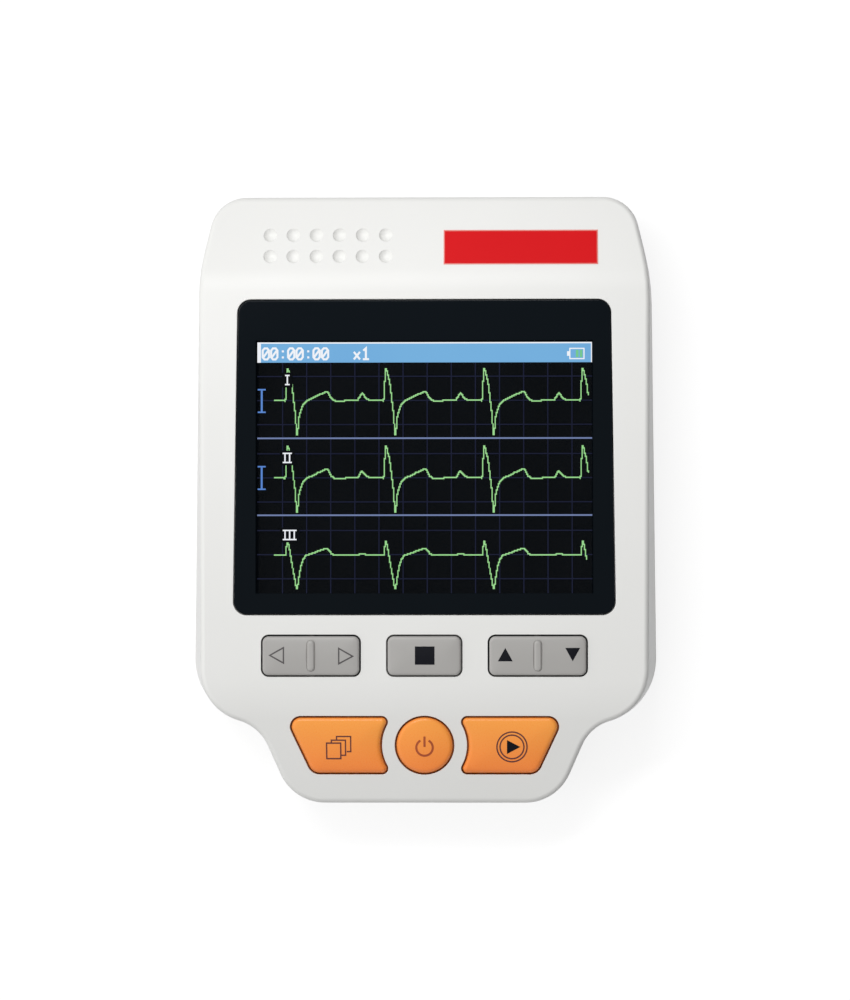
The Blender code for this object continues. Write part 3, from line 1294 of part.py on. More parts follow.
def silicone_keypad():
    """One moulded sheet with a hollow dome, and a pill inside it, under each press point."""
    half_width = ROCKER_X + ROCKER_WIDTH / 2 + SHEET_MARGIN
    top = GREY_ROW_Y + GREY_KEY_HEIGHT / 2 + SHEET_MARGIN
    right = [
        (half_width, top, SHEET_CORNER_RADIUS),
        (half_width, SHEET_WAIST_Y + SHEET_MARGIN, SHEET_CORNER_RADIUS),
        (SIDE_KEY_TOP_REACH - SHEET_CHIN_INSET, SHEET_WAIST_Y, SHEET_CORNER_RADIUS),
        (SIDE_KEY_LOW_REACH - SHEET_END_INSET, SHEET_END_Y, SHEET_CORNER_RADIUS),
    ]
    left = [(-x, y, radius) for x, y, radius in reversed(right)]
    corners = right + left
    path = rounded_path([corners[-1], *corners, corners[0]])
    sheet = plate("sheet", [grown(path)], (STAND_HEIGHT, SHEET_TOP))
    add(sheet, *[turned("dome", dome_profile(), DOME_STEPS, place) for place in PRESS_POINTS])
    cut(sheet, *[turned("hollow", hollow_profile(), DOME_STEPS, place) for place in PRESS_POINTS])
    return dress(sheet, "silicone_keypad", "silicone_grey")


def dome_profile():
    """Outside of a dome, from its flat roof down into the sheet."""
    root = STAND_HEIGHT + SHEET_THICKNESS / 2
    return [
        (0, DOME_TOP), (DOME_ROOF_RADIUS, DOME_TOP), (DOME_RADIUS, SHEET_TOP),
        (DOME_RADIUS, root), (0, root),
    ]


def hollow_profile():
    """Inside of a dome, round the pill that hangs from its roof."""
    pill_end = STAND_HEIGHT + KEY_TRAVEL + PILL_GAP
    roof = DOME_TOP - DOME_WALL
    foot = DOME_RADIUS - DOME_WALL
    below = STAND_HEIGHT - OVERRUN
    return [
        (0, pill_end), (PILL_RADIUS, pill_end), (PILL_RADIUS, roof),
        (DOME_ROOF_RADIUS - DOME_WALL / 2, roof), (foot, SHEET_TOP - DOME_WALL / 2),
        (foot, below), (0, below),
    ]


def key_cap(name):
    """Top of a key, straight-sided down to the middle of its flange."""
    z = (FLANGE_TOP - FLANGE_THICKNESS / 2, FACE_HEIGHT + KEY_PROUD)
    return plate(f"{name} cap", [grown(KEY_PATHS[name])], z)


def key_stem(name, places, drop=0):
    """Round stems from the underside of a key down to just above its domes."""
    z = (STEM_END, FLANGE_TOP - FLANGE_THICKNESS / 2 - drop)
    return pegs(f"{name} stem", places, KEY_STEM_RADIUS, z, KEY_STEM_STEPS)


def push_key(name, press, finish, on_chin):
    """Key held under the face by a flange, with a stem over its dome."""
    cap = key_cap(name)
    loop = grown(KEY_PATHS[name], KEY_GAP + FLANGE_REACH)
    flange = plate(f"{name} flange", [loop], (FLANGE_UNDERSIDE, FLANGE_TOP))
    drop = 0
    if on_chin:
        lay_on_chin(cap)
        lay_on_chin(flange)
        drop = chin_drop(press[1])
    round_edges(cap, KEY_EDGE_RADIUS, KEY_EDGE_STEPS)
    add(cap, flange, key_stem(name, [press], drop))
    return dress(cap, name, finish, (*press, FACE_HEIGHT + KEY_PROUD - drop))


def rocker(name, x):
    """Two-way key that tilts on a pin at each long side, with a stem over each dome."""
    cap = key_cap(name)
    round_edges(cap, KEY_EDGE_RADIUS, KEY_EDGE_STEPS)
    half = GREY_KEY_HEIGHT / 2 + KEY_GAP + ROCKER_PIN_LENGTH
    pin = pin_along_y(f"{name} pin", x, (GREY_ROW_Y - half, GREY_ROW_Y + half), ROCKER_PIN_RADIUS)
    presses = [(x + side * ROCKER_PRESS_REACH, GREY_ROW_Y) for side in (-1, 1)]
    stems = key_stem(name, presses)
    ridge_path = rounded_rectangle(
        x, GREY_ROW_Y, ROCKER_RIDGE_WIDTH, ROCKER_RIDGE_LENGTH,
        ROCKER_RIDGE_WIDTH * RIDGE_ROUND_SHARE,
    )
    top = FACE_HEIGHT + KEY_PROUD
    z = (top - ROCKER_RIDGE_HEIGHT, top + ROCKER_RIDGE_HEIGHT)
    ridge = plate(f"{name} ridge", [grown(ridge_path)], z)
    add(cap, pin, stems, ridge)
    return dress(cap, name, "key_grey", (x, GREY_ROW_Y, ROCKER_AXIS_HEIGHT))


def keys():
    rocker("left_right_rocker", -ROCKER_X)
    rocker("up_down_rocker", ROCKER_X)
    push_key("stop_key", (0, GREY_ROW_Y), "key_grey", False)
    push_key("review_key", (-SIDE_KEY_PRESS_X, ORANGE_ROW_Y), "key_orange", True)
    push_key("power_key", (0, ORANGE_ROW_Y), "key_orange", True)
    push_key("measure_key", (SIDE_KEY_PRESS_X, ORANGE_ROW_Y), "key_orange", True)


def screw(name, place, head, shank, length, seat):
    """Pan-head screw driven from below: its head lies under the seat, its tip above."""
    head_radius, head_height = head
    head_top = seat - SEAT_GAP
    head_low = head_top - head_height
    edge = head_height * SCREW_EDGE_SHARE
    tip = seat + length
    profile = [
        (0, tip), (shank / 2, tip), (shank, tip - shank), (shank, head_top),
        (head_radius, head_top), (head_radius, head_low + edge),
        (head_radius - edge, head_low), (0, head_low),
    ]
    return dress(turned(name, profile, SCREW_STEPS, place), name, "zinc_steel")


def screws():
    for number, place in enumerate(CASE_SCREWS, 1):
        screw(
            f"case_screw_{number}", place, (CASE_SCREW_HEAD_RADIUS, CASE_SCREW_HEAD_HEIGHT),
            CASE_SCREW_RADIUS, CASE_SCREW_LENGTH, CASE_SCREW_SEAT,
        )
    for number, place in enumerate(BOARD_SCREWS, 1):
        screw(
            f"board_screw_{number}", place, (BOARD_SCREW_HEAD_RADIUS, BOARD_SCREW_HEAD_HEIGHT),
            BOARD_SCREW_RADIUS, BOARD_SCREW_LENGTH, BOARD_UNDERSIDE,
        )


def battery_pack():
    half = HALF_BATTERY
    pack = box(
        "pack", (-half, half), (BATTERY_LOW_Y, BATTERY_TOP_Y), (BATTERY_UNDERSIDE, BATTERY_TOP)
    )
    round_edges(pack, BATTERY_EDGE, EDGE_STEPS)
    return dress(pack, "battery_pack", "cell_wrap")


def blade_places():
    return [(number - (BLADE_COUNT - 1) / 2) * BLADE_PITCH for number in range(BLADE_COUNT)]


def battery_connector():
    """Block under the board whose blades reach through the bay's end wall."""
    front = BAY_TOP_Y + BAY_WALL + SEAT_GAP
    half = CONNECTOR_WIDTH / 2
    block = box(
        "battery connector", (-half, half), (front, front + CONNECTOR_DEPTH),
        (CONNECTOR_LOW, BOARD_UNDERSIDE - SEAT_GAP),
    )
    for x in blade_places():
        across = (x - BLADE_WIDTH / 2 - BLADE_SLOT_GAP, x + BLADE_WIDTH / 2 + BLADE_SLOT_GAP)
        y = (front - OVERRUN, front + BLADE_THICKNESS + 2 * BLADE_SLOT_GAP)
        z = (CONNECTOR_LOW - OVERRUN, CONNECTOR_LOW + BLADE_HEIGHT + BLADE_SLOT_GAP)
        cut(block, box("blade groove", across, y, z))
    round_edges(block, CONNECTOR_EDGE, 1)
    return dress(block, "battery_connector", "connector_ivory")


def contact_blades():
    """Bowed leaf for each terminal, from its groove to the battery's end."""
    start = BAY_TOP_Y + BAY_WALL + SEAT_GAP + BLADE_SLOT_GAP + BLADE_THICKNESS / 2
    nose = BATTERY_TOP_Y + SEAT_GAP + BLADE_THICKNESS / 2
    low = CONNECTOR_LOW
    high = CONNECTOR_LOW + BLADE_HEIGHT
    middle = (low + high) / 2
    flat = BLADE_HEIGHT * BLADE_NOSE_SHARE / 2
    line = [(start, low), (nose, middle - flat), (nose, middle + flat), (start, high)]
    for number, x in enumerate(blade_places(), 1):
        bm = bmesh.new()
        left = [bm.verts.new((x - BLADE_WIDTH / 2, y, z)) for y, z in line]
        right = [bm.verts.new((x + BLADE_WIDTH / 2, y, z)) for y, z in line]
        for i in range(len(line) - 1):
            bm.faces.new((left[i], left[i + 1], right[i + 1], right[i]))
        name = f"contact_blade_{number}"
        blade = add_object(name, mesh_from(bm, name))
        sheet = blade.modifiers.new("sheet", "SOLIDIFY")
        sheet.thickness = BLADE_THICKNESS
        sheet.offset = 0
        sheet.use_even_offset = True
        dress(blade, name, "gold_plate")


def electrodes():
    """Pressed metal plate with two pins through the rear shell, one each side."""
    low = ELECTRODE_RECESS
    for name, (x, y) in zip(("left_electrode", "right_electrode"), electrode_places()):
        path = rounded_rectangle(x, y, ELECTRODE_WIDTH, ELECTRODE_LENGTH, ELECTRODE_RADIUS)
        metal = plate(name, [grown(path)], (low, low + ELECTRODE_THICKNESS))
        pins = [place for place in electrode_pins() if place[0] == x]
        z = (low + ELECTRODE_THICKNESS / 2, ELECTRODE_PIN_HEIGHT)
        add(metal, pegs(f"{name} pins", pins, ELECTRODE_PIN_RADIUS, z, SCREW_STEPS))
        dress(metal, name, "stainless_steel")


def electrode_springs():
    """Spring pin from the board down to the upper pin of each electrode."""
    top = BOARD_UNDERSIDE - SEAT_GAP
    shoulder = top - SPRING_PIN_BODY_LENGTH
    tip = ELECTRODE_PIN_HEIGHT + SEAT_GAP
    profile = [
        (0, top), (SPRING_PIN_BODY_RADIUS, top), (SPRING_PIN_BODY_RADIUS, shoulder),
        (SPRING_PIN_TIP_RADIUS, shoulder), (SPRING_PIN_TIP_RADIUS, tip), (0, tip),
    ]
    for name, (x, y) in zip(("left_spring_pin", "right_spring_pin"), electrode_places()):
        place = (x, y + ELECTRODE_PIN_PITCH / 2)
        dress(turned(name, profile, SCREW_STEPS, place), name, "gold_plate")


front_shell()
rear_shell()
battery_door()
display_window()
window_adhesive()
display_gasket()
display_module()
display_frame()
display_flex()
flex_connector()
main_board()
board_parts()
sounder()
sockets()
silicone_keypad()
keys()
screws()
battery_pack()
battery_connector()
contact_blades()
electrodes()
electrode_springs()
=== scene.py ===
import math

import bmesh
import bpy
from mathutils import Matrix, Vector


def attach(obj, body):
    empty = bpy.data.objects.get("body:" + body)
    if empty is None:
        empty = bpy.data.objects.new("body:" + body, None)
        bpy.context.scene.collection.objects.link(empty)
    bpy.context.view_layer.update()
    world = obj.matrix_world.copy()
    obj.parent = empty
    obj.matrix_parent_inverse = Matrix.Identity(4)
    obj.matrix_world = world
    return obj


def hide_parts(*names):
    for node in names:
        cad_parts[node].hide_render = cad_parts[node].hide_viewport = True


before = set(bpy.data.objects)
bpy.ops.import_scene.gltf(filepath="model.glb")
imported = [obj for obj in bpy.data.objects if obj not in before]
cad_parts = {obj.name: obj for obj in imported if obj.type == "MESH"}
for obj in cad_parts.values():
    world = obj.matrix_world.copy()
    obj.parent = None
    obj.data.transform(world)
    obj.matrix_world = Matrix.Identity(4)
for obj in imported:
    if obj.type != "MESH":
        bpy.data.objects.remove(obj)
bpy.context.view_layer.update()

# Handheld ECG monitor on its back: its screen looks along +Z and its top end points to +Y.
# Sizes are written in mm, and the scene itself is in metres.
MM = 0.001

# --- Camera -------------------------------------------------------------------------------
# A long lens 0.7 m over the display, a little to the right of its middle and towards the
# chin, so that the right-hand wall just shows and the left-hand one hardly does.
camera = bpy.data.objects.new("camera", bpy.data.cameras.new("camera"))
camera.data.lens = 118.7
camera.data.sensor_width = 36
camera.data.clip_start = 0.05
camera.location = (12.56 * MM, -19.5 * MM, 713 * MM)
camera.rotation_euler = (0.0279, 0.0180, -0.0005)
bpy.context.scene.collection.objects.link(camera)
bpy.context.scene.camera = camera
bpy.context.scene.view_settings.view_transform = "Standard"


# --- Floor and soft daylight --------------------------------------------------------------
# White paper under a wide lamp that hangs over the monitor's top end, a little to the left,
# with plain room light all round. The paper is clear from below, where the back is seen.
PAPER_HALF, PAPER_DROP = 1.6, 0.1 * MM
PAPER_GLOW = 0.8
UNDER_CASE = 12 * MM        # light that meets the paper sooner than this starts under the case
LAMP_SIZE, LAMP_PLACE, LAMP_AIM = (0.20, 0.06), (-0.050, 0.100, 0.264), (0, -0.04, 0.024)
ROOM_LEVEL, BRIGHTER_SIDE = 0.50, (-0.46, -0.02, 0)


class Signal:
    """Value in a node tree, which sums, products and comparisons can be written with."""

    def __init__(self, wiring, socket):
        self.wiring = wiring
        self.socket = socket

    def math(self, operation, first, second):
        return self.wiring.node("ShaderNodeMath", {"operation": operation}, (first, second))

    def __add__(self, other):
        return self.math("ADD", self, other)

    def __radd__(self, other):
        return self.math("ADD", other, self)

    def __sub__(self, other):
        return self.math("SUBTRACT", self, other)

    def __rsub__(self, other):
        return self.math("SUBTRACT", other, self)

    def __mul__(self, other):
        return self.math("MULTIPLY", self, other)

    def __rmul__(self, other):
        return self.math("MULTIPLY", other, self)

    def __gt__(self, other):
        return self.math("GREATER_THAN", self, other)

    def __lt__(self, other):
        return self.math("LESS_THAN", self, other)


class Wiring:
    """Nodes of a material or of the room's light, added one at a time."""

    def __init__(self, tree):
        self.tree = tree

    def connect(self, socket, value):
        if isinstance(value, Signal):
            self.tree.links.new(value.socket, socket)
        else:
            socket.default_value = value

    def node(self, kind, settings=None, values=(), output=0):
        """Add a node, set it up, feed its sockets by number or by name, and give its output."""
        added = self.tree.nodes.new(kind)
        for name, value in (settings or {}).items():
            setattr(added, name, value)
        for socket, value in values.items() if isinstance(values, dict) else enumerate(values):
            self.connect(added.inputs[socket], value)
        return Signal(self, added.outputs[output])

    def ray(self, fact):
        return self.node("ShaderNodeLightPath", output=fact)

    def blend(self, share, first, second):
        """Colour from the first to the second by a share from 0 to 1."""
        values = {0: share, 6: first, 7: second}
        return self.node("ShaderNodeMix", {"data_type": "RGBA"}, values, output=2)


class Finish(Wiring):
    """Material under a plain name, with the patterns that feed its shader."""

    def __init__(self, name, **sockets):
        self.name = name
        self.material = bpy.data.materials.new(name)
        self.material.use_nodes = True
        super().__init__(self.material.node_tree)
        self.shader = self.tree.nodes["Principled BSDF"]
        self.feed(**sockets)

    def feed(self, **sockets):
        """Feed the shader's sockets, whose names have an underscore for each space."""
        for name, value in sockets.items():
            self.connect(self.shader.inputs[name.replace("_", " ")], value)

    def place(self):
        return self.node("ShaderNodeTexCoord", output="Object")

    def noise(self, size, detail=2.0, where=None):
        """Cloudy pattern from 0 to 1 whose patches are about one size across."""
        values = {"Vector": where or self.place(), "Scale": 1 / size, "Detail": detail}
        return self.node("ShaderNodeTexNoise", None, values)

    def clouded(self, size, first, second, detail=2.0):
        """Let the colour drift between two in soft patches, and give the patches."""
        patches = self.noise(size, detail)
        self.feed(Base_Color=self.blend(patches, first, second))
        return patches

    def relief(self, height, depth):
        """Let the surface's direction follow a relief of a given depth."""
        values = {"Height": height, "Distance": depth, "Strength": 1.0}
        self.feed(Normal=self.node("ShaderNodeBump", None, values))


def rgb(red, green, blue):
    """Colour as a screen shows it, 0 to 255, turned into a light value."""
    def light(value):
        share = value / 255
        return share / 12.92 if share <= 0.04045 else ((share + 0.055) / 1.055) ** 2.4
    return (light(red), light(green), light(blue), 1)


def grey_light(level):
    return (level, level, level, 1)


paper = Finish("white_paper", Roughness=0.9, Emission_Strength=1)
paper.clouded(0.3, grey_light(0.34), grey_light(0.36), 1.0)
looked_at = paper.ray("Is Camera Ray") + paper.ray("Is Glossy Ray") + paper.ray("Is Transmission Ray")
paper.feed(Emission_Color=paper.blend(looked_at, grey_light(0), grey_light(PAPER_GLOW)))
from_case = (paper.ray("Ray Length") < UNDER_CASE) * paper.ray("Is Diffuse Ray")
unseen = from_case + paper.node("ShaderNodeNewGeometry", output="Backfacing") > 0.5
white = Signal(paper, paper.shader.outputs[0])
clear = paper.node("ShaderNodeBsdfTransparent")
sheet = paper.node("ShaderNodeMixShader", None, (unseen, white, clear))
paper.connect(paper.tree.nodes["Material Output"].inputs["Surface"], sheet)

bm = bmesh.new()
bmesh.ops.create_grid(bm, x_segments=8, y_segments=8, size=PAPER_HALF)
floor_mesh = bpy.data.meshes.new("floor")
bm.to_mesh(floor_mesh)
bm.free()
floor_mesh.transform(Matrix.Translation((0, 0, -PAPER_DROP)))
floor_mesh.materials.append(paper.material)
floor = bpy.data.objects.new("floor", floor_mesh)
bpy.context.scene.collection.objects.link(floor)

lamp = bpy.data.objects.new("lamp", bpy.data.lights.new("lamp", "AREA"))
lamp.data.shape = "RECTANGLE"
lamp.data.size, lamp.data.size_y = LAMP_SIZE
lamp.data.energy = 0.33
lamp.location = LAMP_PLACE
lamp.rotation_euler = (Vector(LAMP_AIM) - lamp.location).to_track_quat("-Z", "Y").to_euler()
lamp.visible_camera = False
bpy.context.scene.collection.objects.link(lamp)

room = bpy.data.worlds.new("room")
room.use_nodes = True
bpy.context.scene.world = room
air = Wiring(room.node_tree)
way = air.node("ShaderNodeTexCoord", output="Generated")
brighter = air.node("ShaderNodeVectorMath", {"operation": "DOT_PRODUCT"}, (way, BRIGHTER_SIDE), "Value")
level = air.node("ShaderNodeMath", {"operation": "ADD", "use_clamp": True}, (brighter, ROOM_LEVEL))
air_colour = air.blend(air.ray("Is Camera Ray"), level, (1, 1, 1, 1))
air.connect(air.tree.nodes["Background"].inputs["Color"], air_colour)


# --- Front shell --------------------------------------------------------------------------
# White ABS moulding: flat round the display, with a brow that slopes to the top end and a
# chin that bends down. Two mm walls, a ledge for the window, bosses and posts inside it.
FACE, FACE_EDGE = 24.0, 1.0
PARTING, PARTING_GAP = 9.5, 0.3
WALL = 2.0
RABBET_INSET, RABBET_HEIGHT = 0.9, 1.5      # where the rear shell's lip goes in
TOP_END, CHIN_END = 64.25, -64.25
CREASE, BROW_SLOPE, CREASE_SOFTNESS = 45.95, math.radians(10), 2.4
BEND, BEND_RADIUS, CHIN_SLOPE = -37.85, 30.0, math.radians(16)
CREASE_STEPS, BEND_STEPS = 5, 14
# The side walls lean most at the shoulder, and less towards the crease and the neck.
SHOULDER, NECK = -34.25, -48.45
SHOULDER_LEAN, LESS_AT_CREASE, LESS_AT_NECK, END_LEAN = 9.3, 5.0, 6.3, 3
# Corners of the right half at the parting line, each with the radius that rounds it.
HALF_CORNERS = [
    (0, TOP_END, 0), (44.2, TOP_END, 8.5), (48.3, 47.25, 46), (49.2, -44.05, 14),
    (35.1, -48.2, 8.8), (28.0, CHIN_END, 10.6), (0, CHIN_END, 0),
]


def arc(centre, radius, start, sweep, hollow=False):
    """Points of an arc, each with the way out of what it bounds."""
    steps = max(2, math.ceil(abs(sweep) / math.radians(5)))
    turns = [start + sweep * step / steps for step in range(steps + 1)]
    spokes = [Vector((math.cos(turn), math.sin(turn))) for turn in turns]
    return [(centre + spoke * radius, -spoke if hollow else spoke) for spoke in spokes]


def rounded_path(corners):
    """Clockwise path (x, y, radius) with each inner corner rounded, and its ways out."""
    path = []
    for before, (x, y, radius), after in zip(corners, corners[1:], corners[2:]):
        corner = Vector((x, y))
        incoming = (corner - Vector(before[:2])).normalized()
        outgoing = (Vector(after[:2]) - corner).normalized()
        turn = incoming.angle_signed(outgoing)
        start = corner - incoming * radius * math.tan(abs(turn) / 2)
        side = Vector((-incoming.y, incoming.x)) * (1 if turn < 0 else -1)
        centre = start + side * radius
        spoke = start - centre
        path += arc(centre, radius, math.atan2(spoke.y, spoke.x), -turn, turn < 0)
    return path


def rounded_loop(corners):
    return rounded_path([corners[-1], *corners, corners[0]])


def rounded_rectangle(x, y, width, height, radius):
    left, right, low, high = x - width / 2, x + width / 2, y - height / 2, y + height / 2
    corners = [(left, high, radius), (right, high, radius), (right, low, radius), (left, low, radius)]
    return rounded_loop(corners)


def grown(path, gap=0.0):
    """Loop that lies a gap outside the path."""
    return [point + out * gap for point, out in path]


def face_height(y):
    """Height of the front face at a place along the length."""
    if y > CREASE - CREASE_SOFTNESS:
        past = min(y - CREASE + CREASE_SOFTNESS, 2 * CREASE_SOFTNESS)
        straight = max(y - CREASE - CREASE_SOFTNESS, 0)
        return FACE - math.tan(BROW_SLOPE) * (past ** 2 / (4 * CREASE_SOFTNESS) + straight)
    run = min(max(BEND - y, 0), BEND_RADIUS * math.sin(CHIN_SLOPE))
    straight = max(BEND - y - run, 0)
    return FACE - BEND_RADIUS + math.sqrt(BEND_RADIUS ** 2 - run ** 2) - straight * math.tan(CHIN_SLOPE)


def chin_drop(y):
    """Fall to the straight part of the chin, carried on past it."""
    run = BEND_RADIUS * math.sin(CHIN_SLOPE)
    return BEND_RADIUS * (1 - math.cos(CHIN_SLOPE)) + (BEND - y - run) * math.tan(CHIN_SLOPE)


def side_lean(y):
    """Lean of the side wall in degrees."""
    if y > SHOULDER:
        return SHOULDER_LEAN - LESS_AT_CREASE * min(1, (y - SHOULDER) / (CREASE - SHOULDER))
    return END_LEAN + LESS_AT_NECK * max(0, (y - NECK) / (SHOULDER - NECK))


def half_outline():
    """Right half of the parting line, with a point wherever the face starts to bend."""
    path = rounded_path(HALF_CORNERS)
    halfway = range(-CREASE_STEPS, CREASE_STEPS + 1)
    crease = [CREASE + CREASE_SOFTNESS * step / CREASE_STEPS for step in halfway]
    turns = [CHIN_SLOPE * step / BEND_STEPS for step in range(BEND_STEPS + 1)]
    bend = [BEND - BEND_RADIUS * math.sin(turn) for turn in turns]
    longer = [(Vector((0, TOP_END)), Vector((0, 1))), path[0]]
    for (point, out), (next_point, next_out) in zip(path, path[1:]):
        for y in sorted(crease + bend, reverse=True):
            if point.y - 0.02 > y > next_point.y + 0.02:
                share = (point.y - y) / (point.y - next_point.y)
                way_out = out.lerp(next_out, share).normalized()
                longer.append((point.lerp(next_point, share), way_out))
        longer.append((next_point, next_out))
    return [*longer, (Vector((0, CHIN_END)), Vector((0, -1)))]


HALF_OUTLINE = half_outline()


def housing_ring(inset, level):
    """Right half of the outline at a height, drawn in by the walls' lean and by an inset."""
    ring = []
    least = math.tan(math.radians(END_LEAN))
    for point, out in HALF_OUTLINE:
        rise = level(point.y) - PARTING
        across = rise * math.tan(math.radians(side_lean(point.y))) if rise > 0 else -rise * least
        x = point.x - out.x * (across + inset)
        y = point.y - out.y * (abs(rise) * least + inset)
        ring.append(Vector((x, y, level(y))))
    return ring


def in_metres(name, bm):
    """Object whose mesh is what was drawn in mm."""
    bm.transform(Matrix.Scale(MM, 4))
    piece = bpy.data.objects.new(name, bpy.data.meshes.new(name))
    bm.to_mesh(piece.data)
    bm.free()
    bpy.context.scene.collection.objects.link(piece)
    return piece


def new_piece(name, bm):
    """Closed piece whose faces all point outwards."""
    bmesh.ops.recalc_face_normals(bm, faces=bm.faces)
    return in_metres(name, bm)


def housing_solid(name, sections):
    """Closed solid through whole copies of the outline, each (inset, level), lowest first."""
    bm = bmesh.new()
    rings = []
    for inset, level in sections:
        right = [bm.verts.new(point) for point in housing_ring(inset, level)]
        left = [bm.verts.new((-vert.co.x, vert.co.y, vert.co.z)) for vert in right[1:-1]]
        rings.append((right, [right[0], *left, right[-1]]))
    for (right, left), (right_up, left_up) in zip(rings, rings[1:]):
        for i in range(len(right) - 1):
            bm.faces.new((right[i], right_up[i], right_up[i + 1], right[i + 1]))
            bm.faces.new((left[i + 1], left_up[i + 1], left_up[i], left[i]))
    for right, left in (rings[0], rings[-1]):
        bm.faces.new((right[0], right[1], right[2], left[2], left[1]))
        for i in range(2, len(right) - 3):
            bm.faces.new((right[i], right[i + 1], left[i + 1], left[i]))
        bm.faces.new((right[-3], right[-2], right[-1], left[-2], left[-3]))
    return new_piece(name, bm)


def at(height):
    return lambda y: height


def over(plane, lift):
    """Height that keeps a lift over another one."""
    return lambda y: plane(y) + lift


def rounding(radius, steps=7):
    """Steps of a quarter round as (drawn in, short of the full height)."""
    angles = [math.pi / 2 * step / steps for step in range(steps + 1)]
    return [(radius * (1 - math.cos(angle)), radius * (1 - math.sin(angle))) for angle in angles]


def raised(loop, level):
    """The flat loop put at a height, which may change along the length."""
    return [Vector((point.x, point.y, level(point.y))) for point in loop]


def walled(bm, rings):
    """Walls between loops of 3-D points that match one for one; gives their corners."""
    rows = [[bm.verts.new(point) for point in ring] for ring in rings]
    for low, high in zip(rows, rows[1:]):
        for i in range(len(low)):
            bm.faces.new((low[i - 1], low[i], high[i], high[i - 1]))
    return rows


def loft(bm, rings):
    """Closed solid through loops of 3-D points; gives its last face."""
    rows = walled(bm, rings)
    bm.faces.new(rows[0])
    return bm.faces.new(list(reversed(rows[-1])))


def stepped(bm, path, steps, plane=at(0)):
    """Closed solid through copies of a path, each (gap outside it, lift over the plane)."""
    return loft(bm, [raised(grown(path, gap), over(plane, lift)) for gap, lift in steps])


def prism(bm, loop, low, high):
    loft(bm, [raised(loop, at(low)), raised(loop, at(high))])


def bar(bm, section, start, end):
    """Solid with one section (x, z), laid along the length."""
    loft(bm, [[Vector((x, y, z)) for x, z in section] for y in (start, end)])


def block(bm, x, y, z):
    corners = [Vector((x[i], y[j])) for i, j in ((0, 0), (0, 1), (1, 1), (1, 0))]
    prism(bm, corners, *z)


def on_circle(x, y, radius, turns):
    return [Vector((x + radius * math.cos(turn), y + radius * math.sin(turn))) for turn in turns]


def full_turn(steps):
    return [math.tau * step / steps for step in range(steps)]


def peg(bm, x, y, radius, low, high, steps=32):
    prism(bm, on_circle(x, y, radius, [-turn for turn in full_turn(steps)]), low, high)


def plain_mesh(piece):
    """Turn what the piece's modifiers make into its own mesh."""
    bpy.context.view_layer.update()
    made = piece.evaluated_get(bpy.context.evaluated_depsgraph_get())
    mesh = bpy.data.meshes.new_from_object(made)
    piece.modifiers.clear()
    old, piece.data = piece.data, mesh
    bpy.data.meshes.remove(old)


def shape(target, tool, operation="DIFFERENCE"):
    """Cut, join or trim the target by the tool, which is used up."""
    modifier = target.modifiers.new("shape", "BOOLEAN")
    modifier.operation = operation
    modifier.object = tool
    modifier.solver = "EXACT"
    plain_mesh(target)
    bpy.data.objects.remove(tool)


def finish_piece(piece, finishes, body="monitor", nodes=()):
    """Smooth the piece, keep its real edges, give it its finish and put it on its body."""
    mesh = piece.data
    for index, finish in enumerate(finishes):
        if index < len(mesh.materials):
            mesh.materials[index] = finish.material
        else:
            mesh.materials.append(finish.material)
    mesh.shade_smooth()
    mesh.set_sharp_from_angle(angle=math.radians(32))
    even = piece.modifiers.new("even faces", "WEIGHTED_NORMAL")
    even.keep_sharp = True
    plain_mesh(piece)
    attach(piece, body)
    if nodes:
        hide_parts(*nodes)


def moulded(name, colour, shade, gloss, size=0.3, depth=0.004, **sockets):
    """Moulded plastic: faint flow marks in its colour, and a fine satin grain."""
    finish = Finish(name, **sockets)
    flow = finish.clouded(22 * MM, colour, shade, 3.0)
    grain = finish.noise(size * MM)
    finish.feed(Roughness=grain * 0.12 + flow * 0.05 + (gloss - 0.085))
    finish.relief(grain, depth * MM)
    return finish


white_plastic = moulded(
    "white_plastic", rgb(246, 246, 244), rgb(243, 243, 240), 0.32, Specular_IOR_Level=0.28)

# What the face holds and lets through.
WINDOW_Y = 9.0
WINDOW_CORNERS = [(-38.95, 41.65, 2.7), (38.95, 41.65, 2.7), (39.85, -24.15, 2.7), (-39.85, -24.15, 2.7)]
VIEW_Y, VIEW_WIDTH, VIEW_HEIGHT = 6.7, 70.5, 52.87
LEDGE_WIDTH, LEDGE_HEIGHT, LEDGE_UNDERSIDE, LEDGE_TOP = 81.9, 68.5, 20.5, 22.0
WITHIN_FACE = 22.9          # what hangs under the face reaches up into it
POST_SHORT = 1.1            # and under the slopes, to this depth below their surface
GREY_ROW, ORANGE_ROW, ROCKER_X = -32.8, -51.6, 23.7
GAP, FLARE, ORANGE_SPREAD = 0.34, 0.07, 0.17
ROCKER_AXIS, SADDLE_HOLLOW = 20.9, 0.9
SADDLE_NEAR, SADDLE_FAR, SADDLE_HALF, SADDLE_FOOT = 5.05, 6.65, 2, 19.6
BOSS_RADIUS, BOSS_FOOT, POST_RADIUS, POST_FOOT = 2.8, 11.0, 2.1, 13.3
SCREW_HOLE, POST_HOLE = 1.45, 1.05
SCREWS = [(-41.5, 52.0), (41.5, 52.0), (-41.5, -33.0), (41.5, -33.0)]
POSTS = [(-30.0, 47.4), (30.0, 47.4), (-34.0, -42.6), (34.0, -42.6)]
SOCKET_LOW = 13.8
SOCKETS = [(18.0, 17.0, 13.0), (0.0, 16.7, 6.7)]     # each across, its top and its width


